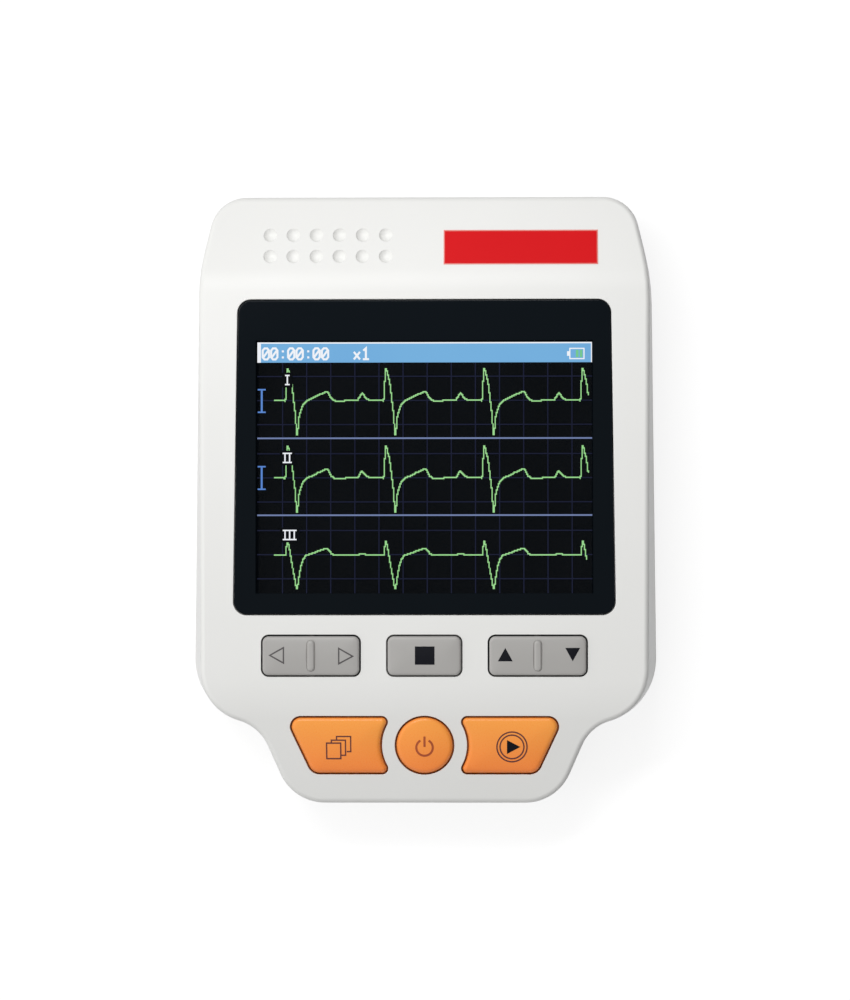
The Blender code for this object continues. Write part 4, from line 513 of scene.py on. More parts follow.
def right_key_path():
    """Four-sided key whose inner side is hollowed round the power key."""
    half, corner, hollow = 6.1, 1.2, 9.0
    tilt = math.asin((half - corner) / (hollow + corner))
    reach = (hollow + corner) * math.cos(tilt)
    top, low = ORANGE_ROW + half, ORANGE_ROW - half
    path = arc(Vector((reach, top - corner)), corner, math.pi + tilt, -(math.pi / 2 + tilt))
    path += rounded_path([(reach, top, 0), (29.3, top, 2.2), (23.7, low, 2.6), (reach, low, 0)])
    path += arc(Vector((reach, low + corner)), corner, -math.pi / 2, -(math.pi / 2 + tilt))
    return path + arc(Vector((0, ORANGE_ROW)), hollow, -tilt, 2 * tilt, hollow=True)[1:-1]


def mirrored(path):
    flip = Vector((-1, 1))
    return [(point * flip, out * flip) for point, out in reversed(path)]


def round_path(x, y, radius, steps=72):
    turns = [math.pi / 2 - math.tau * step / steps for step in range(steps)]
    spokes = [Vector((math.cos(turn), math.sin(turn))) for turn in turns]
    return [(Vector((x, y)) + spoke * radius, spoke) for spoke in spokes]


OPENINGS = {
    "left_right_rocker": rounded_rectangle(-ROCKER_X, GREY_ROW, 21.05, 8.95, 1.7),
    "stop_key": rounded_rectangle(0, GREY_ROW, 16.1, 8.95, 1.7),
    "up_down_rocker": rounded_rectangle(ROCKER_X, GREY_ROW, 21.05, 8.95, 1.7),
    "review_key": mirrored(right_key_path()),
    "power_key": round_path(0, ORANGE_ROW, 6.15),
    "measure_key": right_key_path(),
}
ROCKERS = {"left_right_rocker": -ROCKER_X, "up_down_rocker": ROCKER_X}
ON_CHIN = ("review_key", "power_key", "measure_key")
KEY_PATHS = {}
for name, path in OPENINGS.items():
    inside = GAP + FLARE - (ORANGE_SPREAD if name in ON_CHIN else 0)
    KEY_PATHS[name] = [(point - out * inside, out) for point, out in path]


def key_plane(name):
    """Height of the face under a key, carried on flat past its own edges."""
    return (lambda y: FACE - chin_drop(y)) if name in ON_CHIN else at(FACE)


front = housing_solid("front_shell_skin", [(0, at(PARTING + PARTING_GAP))] + [
    (drawn_in, over(face_height, -short)) for drawn_in, short in rounding(FACE_EDGE)
])
shape(front, housing_solid("cavity", [
    (WALL, at(PARTING - 2)), (WALL, over(face_height, -3.0)), (2.8, over(face_height, -2.2)),
]))
shape(front, housing_solid("lip_rabbet", [
    (RABBET_INSET, at(PARTING - 2)), (RABBET_INSET, at(PARTING + RABBET_HEIGHT)),
]))

bm = bmesh.new()
ledge = rounded_rectangle(0, WINDOW_Y, LEDGE_WIDTH, LEDGE_HEIGHT, 3.9)
prism(bm, grown(ledge), LEDGE_UNDERSIDE, WITHIN_FACE)
for x, y in SCREWS:
    peg(bm, x, y, BOSS_RADIUS, BOSS_FOOT, face_height(y) - POST_SHORT)
for x, y in POSTS:
    peg(bm, x, y, POST_RADIUS, POST_FOOT, face_height(y) - POST_SHORT)
for x in ROCKERS.values():
    for low, high in ((SADDLE_NEAR, SADDLE_FAR), (-SADDLE_FAR, -SADDLE_NEAR)):
        along = (GREY_ROW + low, GREY_ROW + high)
        block(bm, (x - SADDLE_HALF, x + SADDLE_HALF), along, (SADDLE_FOOT, WITHIN_FACE))
shape(front, new_piece("ledge_and_bosses", bm), "UNION")

bm = bmesh.new()
for x, y in SCREWS:
    peg(bm, x, y, SCREW_HOLE, 8.0, 17.3)
for x, y in POSTS:
    peg(bm, x, y, POST_HOLE, 11.0, 17.2)
for x in ROCKERS.values():
    bow = on_circle(x, ROCKER_AXIS, SADDLE_HOLLOW, [math.pi * step / 12 for step in range(13)])
    notch = [*bow, (x - SADDLE_HOLLOW, 17.5), (x + SADDLE_HOLLOW, 17.5)]
    for low, high in ((3.4, 8.6), (-8.6, -3.4)):
        bar(bm, notch, GREY_ROW + low, GREY_ROW + high)
shape(front, new_piece("holes_and_notches", bm))

bm = bmesh.new()
for name, path in KEY_PATHS.items():
    depth = -9.0 if name in ON_CHIN else -14.0
    wide = GAP + 2 * FLARE
    stepped(bm, path, ((GAP, depth), (GAP, -FLARE), (wide, FLARE), (wide, 3.0)), key_plane(name))
recess = ((0.2, LEDGE_TOP), (0.2, 23.9), (0.4, 24.1), (0.4, 26.0))
stepped(bm, rounded_loop(WINDOW_CORNERS), recess)
shape(front, new_piece("openings", bm))

bm = bmesh.new()
prism(bm, grown(rounded_rectangle(0, VIEW_Y, VIEW_WIDTH + 2, VIEW_HEIGHT + 2, 0.5)), 18.0, 23.0)
for x, top, width in SOCKETS:
    mouth = rounded_rectangle(x, (SOCKET_LOW + top) / 2, width, top - SOCKET_LOW, 0.6)
    rings = []
    for y, gap in ((58.0, 0.0), (63.5, 0.0), (64.9, 0.9), (67.0, 0.9)):
        rings.append([Vector((point.x, y, point.y)) for point in grown(mouth, gap)])
    loft(bm, rings)
shape(front, new_piece("view_and_socket_mouths", bm))


def recipe(name, inputs):
    """Geometry Nodes tree with named inputs; gives the tree and a way to add nodes to it."""
    tree = bpy.data.node_groups.new(name, "GeometryNodeTree")
    tree.interface.new_socket("Geometry", in_out="INPUT", socket_type="NodeSocketGeometry")
    for label, kind in inputs.items():
        tree.interface.new_socket(label, in_out="INPUT", socket_type=f"NodeSocket{kind}")
    tree.interface.new_socket("Geometry", in_out="OUTPUT", socket_type="NodeSocketGeometry")
    given = tree.nodes.new("NodeGroupInput")

    def add(kind, values=None, output=0):
        added = tree.nodes.new(f"GeometryNode{kind}")
        for socket, value in (values or {}).items():
            if isinstance(value, str):
                value = given.outputs[value]
            if isinstance(value, bpy.types.NodeSocket):
                tree.links.new(value, added.inputs[socket])
            else:
                added.inputs[socket].default_value = value
        return added.outputs[output]

    return tree, add


def serve(tree, add, points, instance, finish):
    """End the tree in plain geometry: a copy on each point, with its finish."""
    copies = add("InstanceOnPoints", {"Points": points, "Instance": instance})
    whole = add("RealizeInstances", {0: copies})
    painted = add("SetMaterial", {"Geometry": whole, "Material": finish.material})
    tree.links.new(painted, tree.nodes.new("NodeGroupOutput").inputs[0])


def made_by(tree, name, values):
    """Piece whose mesh is what the tree makes from the values."""
    piece = bpy.data.objects.new(name, bpy.data.meshes.new(name))
    bpy.context.scene.collection.objects.link(piece)
    modifier = piece.modifiers.new(name, "NODES")
    modifier.node_group = tree
    for item in tree.interface.items_tree:
        if item.in_out == "INPUT" and item.name in values:
            modifier[item.identifier] = values[item.name]
    plain_mesh(piece)
    return piece


# Two rows of shallow dimples over the sounder, each cut by a ball whose middle floats
# above the sloping brow.
DIMPLE_RADIUS, DIMPLE_DEPTH = 1.45, 0.85
DIMPLES_X, DIMPLES_Y, DIMPLE_COLUMNS, DIMPLE_PITCH, DIMPLE_ROW_PITCH = -20.2, 53.2, 6, 4.85, 4.62
dimple_grid, add = recipe("dimple_grid", {
    "Columns": "Int", "Rows": "Int", "Width": "Float", "Height": "Float", "Ball": "Float",
    "Place": "Vector", "Slope": "Rotation",
})
grid = add("MeshGrid", {
    "Size X": "Width", "Size Y": "Height", "Vertices X": "Columns", "Vertices Y": "Rows",
})
laid = add("Transform", {"Geometry": grid, "Translation": "Place", "Rotation": "Slope"})
ball = add("MeshUVSphere", {"Segments": 40, "Rings": 22, "Radius": "Ball"})
serve(dimple_grid, add, laid, ball, white_plastic)

ball_radius = (DIMPLE_RADIUS ** 2 + DIMPLE_DEPTH ** 2) / (2 * DIMPLE_DEPTH)
above = ball_radius - DIMPLE_DEPTH
ball_y = DIMPLES_Y + above * math.sin(BROW_SLOPE)
ball_z = face_height(DIMPLES_Y) + above * math.cos(BROW_SLOPE)
shape(front, made_by(dimple_grid, "dimples", {
    "Columns": DIMPLE_COLUMNS, "Rows": 2, "Ball": ball_radius * MM,
    "Width": (DIMPLE_COLUMNS - 1) * DIMPLE_PITCH * MM, "Height": DIMPLE_ROW_PITCH * MM,
    "Place": (DIMPLES_X * MM, ball_y * MM, ball_z * MM), "Slope": (-BROW_SLOPE, 0, 0),
}))
finish_piece(front, [white_plastic], nodes=["front_shell"])


# --- Rear shell ---------------------------------------------------------------------------
# Cool grey ABS moulding that lips into the front one. It holds the battery bay with rails
# for the sliding door, two pockets for the electrodes, and deep bores for the four screws.
REAR_EDGE = 3.0
LIP_INSET, LIP_HEIGHT = 1.1, 1.2
REAR_SECTIONS = [(drawn_in, at(short)) for drawn_in, short in reversed(rounding(REAR_EDGE))]
REAR_SECTIONS.append((0, at(PARTING)))
FLOOR = 1.0                 # inside the rear wall, where what stands on it starts
PADS = {"left_electrode": (-34.0, 18.0), "right_electrode": (34.0, 18.0)}
PAD_PINS = (-10, 10)
PILLAR_RADIUS, PILLAR_TOP = 3.3, 10.7
RIBS, RIB_HALF, RIB_TOP = (-14.0, -29.0), 0.6, 5.0
BLADES, BLADE_SLOT_HALF = (-3, 0, 3), 0.9


def electrode_path(x, y):
    return rounded_rectangle(x, y, 12, 34, 4)


def both_sides(left_half):
    return left_half + [(-x, z) for x, z in reversed(left_half)]


grey_plastic = moulded(
    "grey_plastic", rgb(176, 174, 171), rgb(168, 166, 163), 0.50, size=0.4, depth=0.008)

rear = housing_solid("rear_shell_skin", REAR_SECTIONS)
shape(rear, housing_solid("lip", [
    (LIP_INSET, at(PARTING - LIP_HEIGHT)), (LIP_INSET, at(PARTING + LIP_HEIGHT)),
]), "UNION")
shape(rear, housing_solid("rear_cavity", [
    (REAR_EDGE, at(WALL)), (WALL, at(3.0)), (WALL, at(PARTING + 3.2)),
]))

bm = bmesh.new()
block(bm, (-18.6, 18.6), (-56.1, 0.1), (FLOOR, 9.6))
for x, y in SCREWS:
    peg(bm, x, y, PILLAR_RADIUS, FLOOR, PILLAR_TOP)
for y in RIBS:
    for side in (-1, 1):
        block(bm, sorted((23.0 * side, 47.2 * side)), (y - RIB_HALF, y + RIB_HALF), (FLOOR, RIB_TOP))
shape(rear, new_piece("bay_walls", bm), "UNION")
bm = bmesh.new()
block(bm, (-24.2, 24.2), (-60.05, 4.8), (FLOOR, 3.4))
shape(rear, new_piece("door_rails", bm), "UNION")

bm = bmesh.new()
for x, y in PADS.values():
    stepped(bm, electrode_path(x, y), ((0.7, -1.4), (0.7, -0.2), (0.3, 0.2), (0.3, 1.0)))
for x, y in SCREWS:
    bore = ((2.75, -1.4), (2.75, -0.2), (2.35, 0.2), (2.35, 4.0))
    loft(bm, [raised(grown(round_path(x, y, radius, 48)), at(z)) for radius, z in bore])
block(bm, (-17.4, 17.4), (-54.9, -1.1), (-2.0, 8.4))
shape(rear, new_piece("pockets_and_bores", bm))
bm = bmesh.new()
bar(bm, both_sides([(-20.8, -2), (-20.8, 0.9), (-21.9, 0.9), (-21.9, 2.2)]), -70.0, 2.5)
for x, y in SCREWS:
    peg(bm, x, y, SCREW_HOLE, 3.0, 12.0)
for x, y in PADS.values():
    for along in PAD_PINS:
        peg(bm, x, y + along, 1.2, 0.5, 4.0)
for x in BLADES:
    block(bm, (x - BLADE_SLOT_HALF, x + BLADE_SLOT_HALF), (-2.2, 1.2), (3.9, 7.9))
shape(rear, new_piece("door_slot", bm))
finish_piece(rear, [grey_plastic], nodes=["rear_shell"])


# --- Battery door -------------------------------------------------------------------------
# Plate of the same grey ABS that follows the housing's back edge. A tongue along each side
# runs in the rear shell's grooves, and five thumb grooves are moulded near the chin.
GROOVES, GROOVE_PITCH, FIRST_GROOVE = 5, 2.4, -54.8
GROOVE_SIZE = (8, 0.62, 0.5)
bm = bmesh.new()
bar(bm, both_sides([(-20.5, 0.2), (-20.5, 1.2), (-21.6, 1.2), (-21.6, 1.9)]), -66.0, 2.2)
door = new_piece("battery_door_plate", bm)
shape(door, housing_solid("door_outside", REAR_SECTIONS), "INTERSECT")

groove_row, add = recipe("groove_row", {
    "Count": "Int", "Start": "Vector", "Pitch": "Vector", "Size": "Vector",
})
line = add("MeshLine", {"Count": "Count", "Start Location": "Start", "Offset": "Pitch"})
scoop = add("MeshUVSphere", {"Segments": 32, "Rings": 16, "Radius": 1.0})
scoop = add("Transform", {"Geometry": scoop, "Scale": "Size"})
serve(groove_row, add, line, scoop, grey_plastic)
shape(door, made_by(groove_row, "grooves", {
    "Count": GROOVES, "Start": (0, FIRST_GROOVE * MM, 0.2 * MM), "Pitch": (0, GROOVE_PITCH * MM, 0),
    "Size": tuple(size * MM for size in GROOVE_SIZE),
}))
finish_piece(door, [grey_plastic], body="battery_door", nodes=["battery_door"])


# --- Screws and electrodes ----------------------------------------------------------------
# Four zinc-plated self-tapping screws with cross recesses close the case from behind. Two
# pressed stainless-steel plates touch the patient's hands; their pins pass the rear wall.
def plated(name, colour, shade, gloss, stretch=(1, 1, 1), size=0.5):
    """Bare metal with fine marks, drawn out along one way where it is brushed."""
    finish = Finish(name, Metallic=1.0)
    along = finish.node("ShaderNodeMapping", None, {"Vector": finish.place(), "Scale": stretch})
    marks = finish.noise(size * MM, 3.0, along)
    finish.feed(Base_Color=finish.blend(marks, colour, shade), Roughness=marks * 0.25 + (gloss - 0.12))
    finish.relief(marks, 0.01 * MM)
    return finish


zinc_steel = plated("zinc_steel", rgb(186, 188, 190), rgb(158, 160, 162), 0.36)
stainless_steel = plated(
    "stainless_steel", rgb(206, 205, 202), rgb(176, 175, 172), 0.30, (1, 0.04, 1), 0.25)

# The screw's half section (radius, height), from the head's middle to the thread's tip.
SCREW_SIDES = 24
head = [(0.0, 2.2), (1.3, 2.2), (1.75, 2.4), (2.02, 2.8), (2.1, 3.3), (2.1, 3.7), (1.2, 3.7)]
thread = [(1.2 if i % 2 else 0.95, 4.2 + 0.55 * i) for i in range(20)]
profile = [*head, (1.0, 3.9), *thread, (0.5, 16.4), (0.0, 17.0)]
bm = bmesh.new()
rows = walled(bm, [
    [(*point, z) for point in on_circle(0, 0, radius, full_turn(SCREW_SIDES))]
    for radius, z in profile[1:-1]
])
for row, (radius, z) in ((rows[0], profile[0]), (rows[-1], profile[-1])):
    tip = bm.verts.new((0, 0, z))
    for i in range(SCREW_SIDES):
        bm.faces.new((row[i - 1], row[i], tip))
pattern = new_piece("screw_pattern", bm)
bm = bmesh.new()
cross = [(-0.25, -1.2), (-0.25, -0.25), (-1.2, -0.25), (-1.2, 0.25), (-0.25, 0.25), (-0.25, 1.2),
         (0.25, 1.2), (0.25, 0.25), (1.2, 0.25), (1.2, -0.25), (0.25, -0.25), (0.25, -1.2)]
depths = ((1.0, 1.8), (1.0, 2.3), (0.45, 3.2))
loft(bm, [[Vector((x * share, y * share, z)) for x, y in cross] for share, z in depths])
shape(pattern, new_piece("cross", bm))

screw_set, add = recipe("screw_set", {
    "Screw": "Object", "Width": "Float", "Length": "Float", "Middle": "Vector",
})
grid = add("MeshGrid", {"Size X": "Width", "Size Y": "Length", "Vertices X": 2, "Vertices Y": 2})
grid = add("Transform", {"Geometry": grid, "Translation": "Middle"})
serve(screw_set, add, grid, add("ObjectInfo", {"Object": "Screw"}, output="Geometry"), zinc_steel)
(left, back), (right, fore) = SCREWS[0], SCREWS[3]
case_screws = made_by(screw_set, "case_screws", {
    "Screw": pattern, "Width": (right - left) * MM, "Length": (back - fore) * MM,
    "Middle": (0, (back + fore) / 2 * MM, 0),
})
bpy.data.objects.remove(pattern)
finish_piece(case_screws, [zinc_steel], nodes=[f"case_screw_{number}" for number in (1, 2, 3, 4)])

for name, (x, y) in PADS.items():
    bm = bmesh.new()
    edge = ((-0.45, 0.1), (-0.28, 0.13), (-0.1, 0.22), (0.0, 0.4), (0.0, 0.7))
    stepped(bm, electrode_path(x, y), edge)
    plate = new_piece(f"{name}_plate", bm)
    bm = bmesh.new()
    for along in PAD_PINS:
        peg(bm, x, y + along, 0.9, 0.5, 3.4, 24)
    shape(plate, new_piece("pins", bm), "UNION")
    finish_piece(plate, [stainless_steel], nodes=[name])


# --- Window -------------------------------------------------------------------------------
# Clear acrylic plate, a little wider at its lower edge, printed black on its back all
# round the picture. Double-sided tape holds it on the front shell's ledge.
WINDOW_LOW, WINDOW_TOP = 22.6, 24.0
PRINT_MARGIN = 0.05         # the black print starts this far outside the picture
window_black = Finish("window_black", Specular_IOR_Level=0.11)
smear = window_black.clouded(30 * MM, rgb(4, 12, 18), rgb(6, 14, 21), 3.0)
window_black.feed(Roughness=smear * 0.04 + 0.04)

window_clear = Finish("window_clear", Base_Color=(0, 0, 0, 1), Roughness=0.05, Specular_IOR_Level=0)
window_clear.feed(Alpha=window_clear.noise(30 * MM, 3.0) * 0.03 + 0.01)

bm = bmesh.new()
side_steps = [(-0.05, WINDOW_LOW), (0.0, 22.65), (0.0, 23.85), (-0.06, 23.96), (-0.2, WINDOW_TOP)]
pane_path = rounded_loop(WINDOW_CORNERS)
rows = walled(bm, [raised(grown(pane_path, gap), at(z)) for gap, z in side_steps])
clear_x, clear_y = VIEW_WIDTH / 2 + PRINT_MARGIN, VIEW_HEIGHT / 2 + PRINT_MARGIN
ways = [(-1, 1), (1, 1), (1, -1), (-1, -1)]
for row, z in ((rows[0], WINDOW_LOW), (rows[-1], WINDOW_TOP)):
    clear_corners = [bm.verts.new((x * clear_x, VIEW_Y + y * clear_y, z)) for x, y in ways]
    bm.faces.new(clear_corners).material_index = 1
    # The rim point farthest towards each corner, from which the print's faces are parted.
    turns = []
    for x, y in ways:
        reach = [vert.co.x * x + (vert.co.y - WINDOW_Y) * y for vert in row]
        turns.append(reach.index(max(reach)))
    for side, first in enumerate(turns):
        last = turns[(side + 1) % 4]
        last += len(row) if last < first else 0
        rim = [row[i % len(row)] for i in range(first, last + 1)]
        bm.faces.new([*rim, clear_corners[(side + 1) % 4], clear_corners[side]])
window = new_piece("window_plate", bm)
finish_piece(window, [window_black, window_clear], nodes=["display_window"])


# --- Picture ------------------------------------------------------------------------------
# Colour panel of 320 by 240 dots behind the window: a pale blue bar with the time, the size
# and the battery, and three leads in green over a dark blue grid. Each layer of lit dots lies
# a little higher than what it covers.
PANEL_Z = 19.5
DOTS_ACROSS = 320
DOT = VIEW_WIDTH / DOTS_ACROSS
LAYER = 0.008
COLUMN_LIFT, ROW_LIFT, BAR_LIFT, DIVIDER_LIFT, SIGN_LIFT = 0.01, 0.016, 0.016, 0.024, 0.03
TRACE_LIFT, CROSS_LIFT, GAP_LIFT, NUMERAL_LIFT = 0.032, 0.034, 0.042, 0.05
BAR_FOOT = 19.4


def dot(column, row):
    """Place of a dot on the panel, counted from its top left corner."""
    return Vector((column * DOT - VIEW_WIDTH / 2, VIEW_Y + VIEW_HEIGHT / 2 - row * DOT))


def area(left, top, right, low):
    return [dot(left, top), dot(right, top), dot(right, low), dot(left, low)]


def stroke(points, width, closed=False):
    """Quads of a line of one width through the points, mitred where it turns."""
    points = [Vector(point) for point in points]
    count = len(points)
    sides = []
    for i, point in enumerate(points):
        ways = []
        if closed or i > 0:
            ways.append((point - points[i - 1]).normalized())
        if closed or i < count - 1:
            ways.append((points[(i + 1) % count] - point).normalized())
        way = sum(ways, Vector((0, 0))).normalized()
        normal = Vector((-way.y, way.x))
        reach = width / 2 / max(0.4, abs(way.dot(ways[0])))
        sides.append((point + normal * reach, point - normal * reach))
    last = count if closed else count - 1
    return [(*sides[i], *reversed(sides[(i + 1) % count])) for i in range(last)]


def film(name, bm, thickness, finish, body, slot):
    """Sheet drawn in mm that gets a thickness downwards, its finish and its body."""
    sheet = in_metres(name, bm)
    thick = sheet.modifiers.new("film", "SOLIDIFY")
    thick.thickness = thickness * MM
    thick.offset = -1
    plain_mesh(sheet)
    sheet.data.materials.clear()
    sheet.data.materials.append(finish.material)
    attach(sheet, body)


def shown(name, shapes, lift, finish):
    """Layer of lit dots just over the panel, welded where its shapes meet."""
    bm = bmesh.new()
    for corners in shapes:
        bm.faces.new([bm.verts.new((point.x, point.y, PANEL_Z + lift)) for point in corners])
    bmesh.ops.remove_doubles(bm, verts=bm.verts, dist=0.0005)
    bmesh.ops.dissolve_degenerate(bm, edges=bm.edges, dist=0.0005)
    bmesh.ops.recalc_face_normals(bm, faces=bm.faces)
    for face in bm.faces:
        if face.normal.z < 0:
            face.normal_flip()
    film(name, bm, LAYER, finish, "monitor", "display_glass")


def lit(name, colour, other):
    """Lit dots: their own colour, a little uneven as the backlight is."""
    dark = {"Base_Color": (0, 0, 0, 1), "Roughness": 0.5, "Specular_IOR_Level": 0}
    finish = Finish(name, Emission_Strength=1, **dark)
    finish.feed(Emission_Color=finish.blend(finish.noise(26 * MM, 1.0), colour, other))
    return finish


def dress(finish, *names):
    """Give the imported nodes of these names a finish."""
    for name in names:
        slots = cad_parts[name].data.materials
        for index in range(len(slots)):
            slots[index] = finish.material


display_glass = Finish("display_glass", Roughness=0.06, Specular_IOR_Level=0.07, Emission_Strength=1)
cells = display_glass.clouded(18 * MM, rgb(4, 6, 8), rgb(8, 10, 13))
display_glass.feed(Emission_Color=display_glass.blend(cells, rgb(1, 2, 3), rgb(4, 6, 9)))
dress(display_glass, "display_module")

lit_bar = lit("lit_bar", rgb(110, 168, 220), rgb(126, 186, 230))
lit_white = lit("lit_white", rgb(238, 242, 250), rgb(250, 252, 255))
lit_violet = lit("lit_violet", rgb(27, 30, 48), rgb(34, 38, 60))
lit_lavender = lit("lit_lavender", rgb(110, 125, 168), rgb(124, 140, 182))
lit_blue = lit("lit_blue", rgb(86, 130, 206), rgb(104, 150, 222))
lit_green = lit("lit_green", rgb(146, 214, 136), rgb(172, 232, 160))
lit_charge = lit("lit_charge", rgb(112, 196, 140), rgb(130, 212, 156))

bar_edges = [
    area(0, 0, DOTS_ACROSS, 1.3), area(0, 1.3, 3.4, BAR_FOOT), area(319, 1.3, DOTS_ACROSS, BAR_FOOT),
]
shown("status_bar", [area(0, 0, DOTS_ACROSS, BAR_FOOT)], BAR_LIFT, lit_bar)
shown("bar_edges", bar_edges, SIGN_LIFT, lit_white)

# Signs in a cell of eight by twelve dots, as strokes from its top left: each is a list of
# points, and whether it closes.
GLYPHS = {
    "0": [([(2.6, 0.7), (5.2, 0.7), (6.9, 2.8), (6.9, 9.2),
            (5.2, 11.3), (2.6, 11.3), (0.9, 9.2), (0.9, 2.8)], True),
          ([(1.5, 9.3), (6.3, 2.7)], False)],
    ":": [([(3.0, 3.6), (5.0, 3.6)], False), ([(3.0, 9.4), (5.0, 9.4)], False)],
    "1": [([(1.4, 3.0), (3.9, 0.8), (3.9, 11.3)], False), ([(1.0, 11.2), (6.9, 11.2)], False)],
    "x": [([(1.0, 4.2), (6.8, 11.4)], False), ([(6.8, 4.2), (1.0, 11.4)], False)],
    "I": [([(1.8, 0.7), (6.2, 0.7)], False), ([(4.0, 0.7), (4.0, 9.4)], False),
          ([(1.8, 9.4), (6.2, 9.4)], False)],
}
CLOCK_X, CLOCK_PITCH, BAR_SIGNS_Y = 4.2, 8.1, 5.0


def sign(glyph, column, row, width=1.95):
    """Strokes of one sign whose cell starts at a dot."""
    quads = []
    for points, closed in GLYPHS[glyph]:
        quads += stroke([dot(column + x, row + y) for x, y in points], width * DOT, closed)
    return quads


for number, glyph in enumerate("00:00:00"):
    quads = sign(glyph, CLOCK_X + number * CLOCK_PITCH, BAR_SIGNS_Y)
    shown(f"clock_{number + 1}", quads, SIGN_LIFT, lit_white)
gain_cross = sign("x", 91.4, BAR_SIGNS_Y)
shown("gain_cross_1", gain_cross[:1], SIGN_LIFT, lit_white)
shown("gain_cross_2", gain_cross[1:], CROSS_LIFT, lit_white)
shown("gain_figure", sign("1", 100.0, BAR_SIGNS_Y), SIGN_LIFT, lit_white)
battery = stroke(area(298.9, 6.2, 312.4, 16.0), 1.1 * DOT, True)
charge = [area(304.6, 7.6, 307.2, 14.7), area(308.3, 7.6, 310.9, 14.7)]
shown("battery_mark", battery + [area(296.2, 8.9, 298.4, 13.3)], SIGN_LIFT, lit_white)
shown("battery_charge", charge, SIGN_LIFT, lit_charge)

# Thirteen upright lines, and three lines across for each lead, one square apart.
SQUARE, LINE = 23.05 * DOT, 1.15 * DOT
grid_lines, add = recipe("grid_lines", {
    "Count": "Int", "Start": "Vector", "Pitch": "Vector", "Size": "Vector",
})
line = add("MeshLine", {"Count": "Count", "Start Location": "Start", "Offset": "Pitch"})
serve(grid_lines, add, line, add("MeshCube", {"Size": "Size"}), lit_violet)
lines = {"grid_columns": (13, dot(24.2, 129.7), (SQUARE, 0), (LINE, 220.6 * DOT), COLUMN_LIFT)}
for number, row in enumerate((32.7, 106.7, 180.1), 1):
    lines[f"grid_rows_{number}"] = (3, dot(160, row), (0, -SQUARE), (VIEW_WIDTH, LINE), ROW_LIFT)
for name, (count, start, pitch, size, lift) in lines.items():
    rows = made_by(grid_lines, name, {
        "Count": count, "Start": (start.x * MM, start.y * MM, (PANEL_Z + lift - LAYER / 2) * MM),
        "Pitch": (pitch[0] * MM, pitch[1] * MM, 0), "Size": (size[0] * MM, size[1] * MM, LAYER * MM),
    })
    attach(rows, "monitor")
dividers = [area(0, row - 0.75, DOTS_ACROSS, row + 0.75) for row in (91.9, 165.5)]
shown("dividers", dividers, DIVIDER_LIFT, lit_lavender)

for number, row in enumerate((44.6, 118.3), 1):
    head, foot = row + 1.4, row + 21.6
    mark = [area(0.4, row, 8.0, head), area(0.4, foot, 8.0, row + 23), area(3.3, head, 5.1, foot)]
    shown(f"scale_mark_{number}", mark, SIGN_LIFT, lit_blue)

# One heartbeat as (dots past the peak, dots under the base line): the spike, which lead III
# has smaller, then the slow wave and the small one before the next spike.
SPIKE = [(-2.0, 0.7), (-0.9, -18.0), (-0.3, -30.4), (0.6, -30.4), (1.5, -26.0), (3.7, -17.9),
         (5.3, -5.0), (6.3, 4.0), (7.6, 14.0), (8.7, 32.5), (9.6, 32.5), (10.9, 17.0), (12.5, 10.5),
         (14.2, 5.6), (16.0, 2.6)]
LOW_SPIKE = [(-2.0, 0.5), (-1.0, -7.0), (-0.4, -12.8), (0.5, -12.8), (1.8, -6.5), (3.7, 4.5),
             (5.6, 15.5), (7.4, 25.0), (8.6, 32.0), (9.5, 32.0), (11.0, 22.0), (12.8, 11.0),
             (14.6, 5.0), (16.4, 2.4)]
WAVE = [(18.0, 0.6), (22.0, -1.3), (26.0, -3.0), (29.0, -4.9), (33.0, -6.3), (36.4, -8.4),
        (38.4, -8.3), (40.4, -4.6), (42.3, -1.4), (45.6, 0.5), (54.0, 0.6), (57.0, -0.4), (67.0, -0.3)]
SMALL_WAVE = [(69.0, -3.0), (71.1, -6.6), (73.2, -4.6), (75.5, -1.4), (78.5, -0.4), (90.3, -0.3)]
BEATS, BEAT_PITCH, FIRST_PEAK, LEAD_END = 4, 94.0, 28.9, 316.5


def lead(base, spike, wave, small_wave):
    """Line of one lead: the same beat again and again, its waves to their own height."""
    beat = [*spike, *((x, y * wave) for x, y in WAVE), *((x, y * small_wave) for x, y in SMALL_WAVE)]
    points = [(16.8, base), (25.5, base)]
    for number in range(BEATS):
        points += [(FIRST_PEAK + number * BEAT_PITCH + x, base + y) for x, y in beat]
    return [point for point in points if point[0] < LEAD_END]


def columns(points):
    """The line in whole dots: one upright run of dots in each column."""
    runs = {}
    for (x0, y0), (x1, y1) in zip(points, points[1:]):
        for column in range(math.floor(x0), math.floor(x1) + 1):
            for x in (max(x0, column), min(x1, column + 0.999)):
                row = round(y0 + (y1 - y0) * (x - x0) / (x1 - x0))
                low, high = runs.get(column, (row, row))
                runs[column] = (min(low, row), max(high, row))
    return [area(column, low - 0.1, column + 1, high + 1.1) for column, (low, high) in runs.items()]


LEADS = [(55.1, SPIKE, 1, 1), (129.3, SPIKE, 1, 1), (202.9, LOW_SPIKE, 0.74, 0.16)]
for number, facts in enumerate(LEADS, 1):
    shown(f"trace_{number}", columns(lead(*facts)), TRACE_LIFT, lit_green)

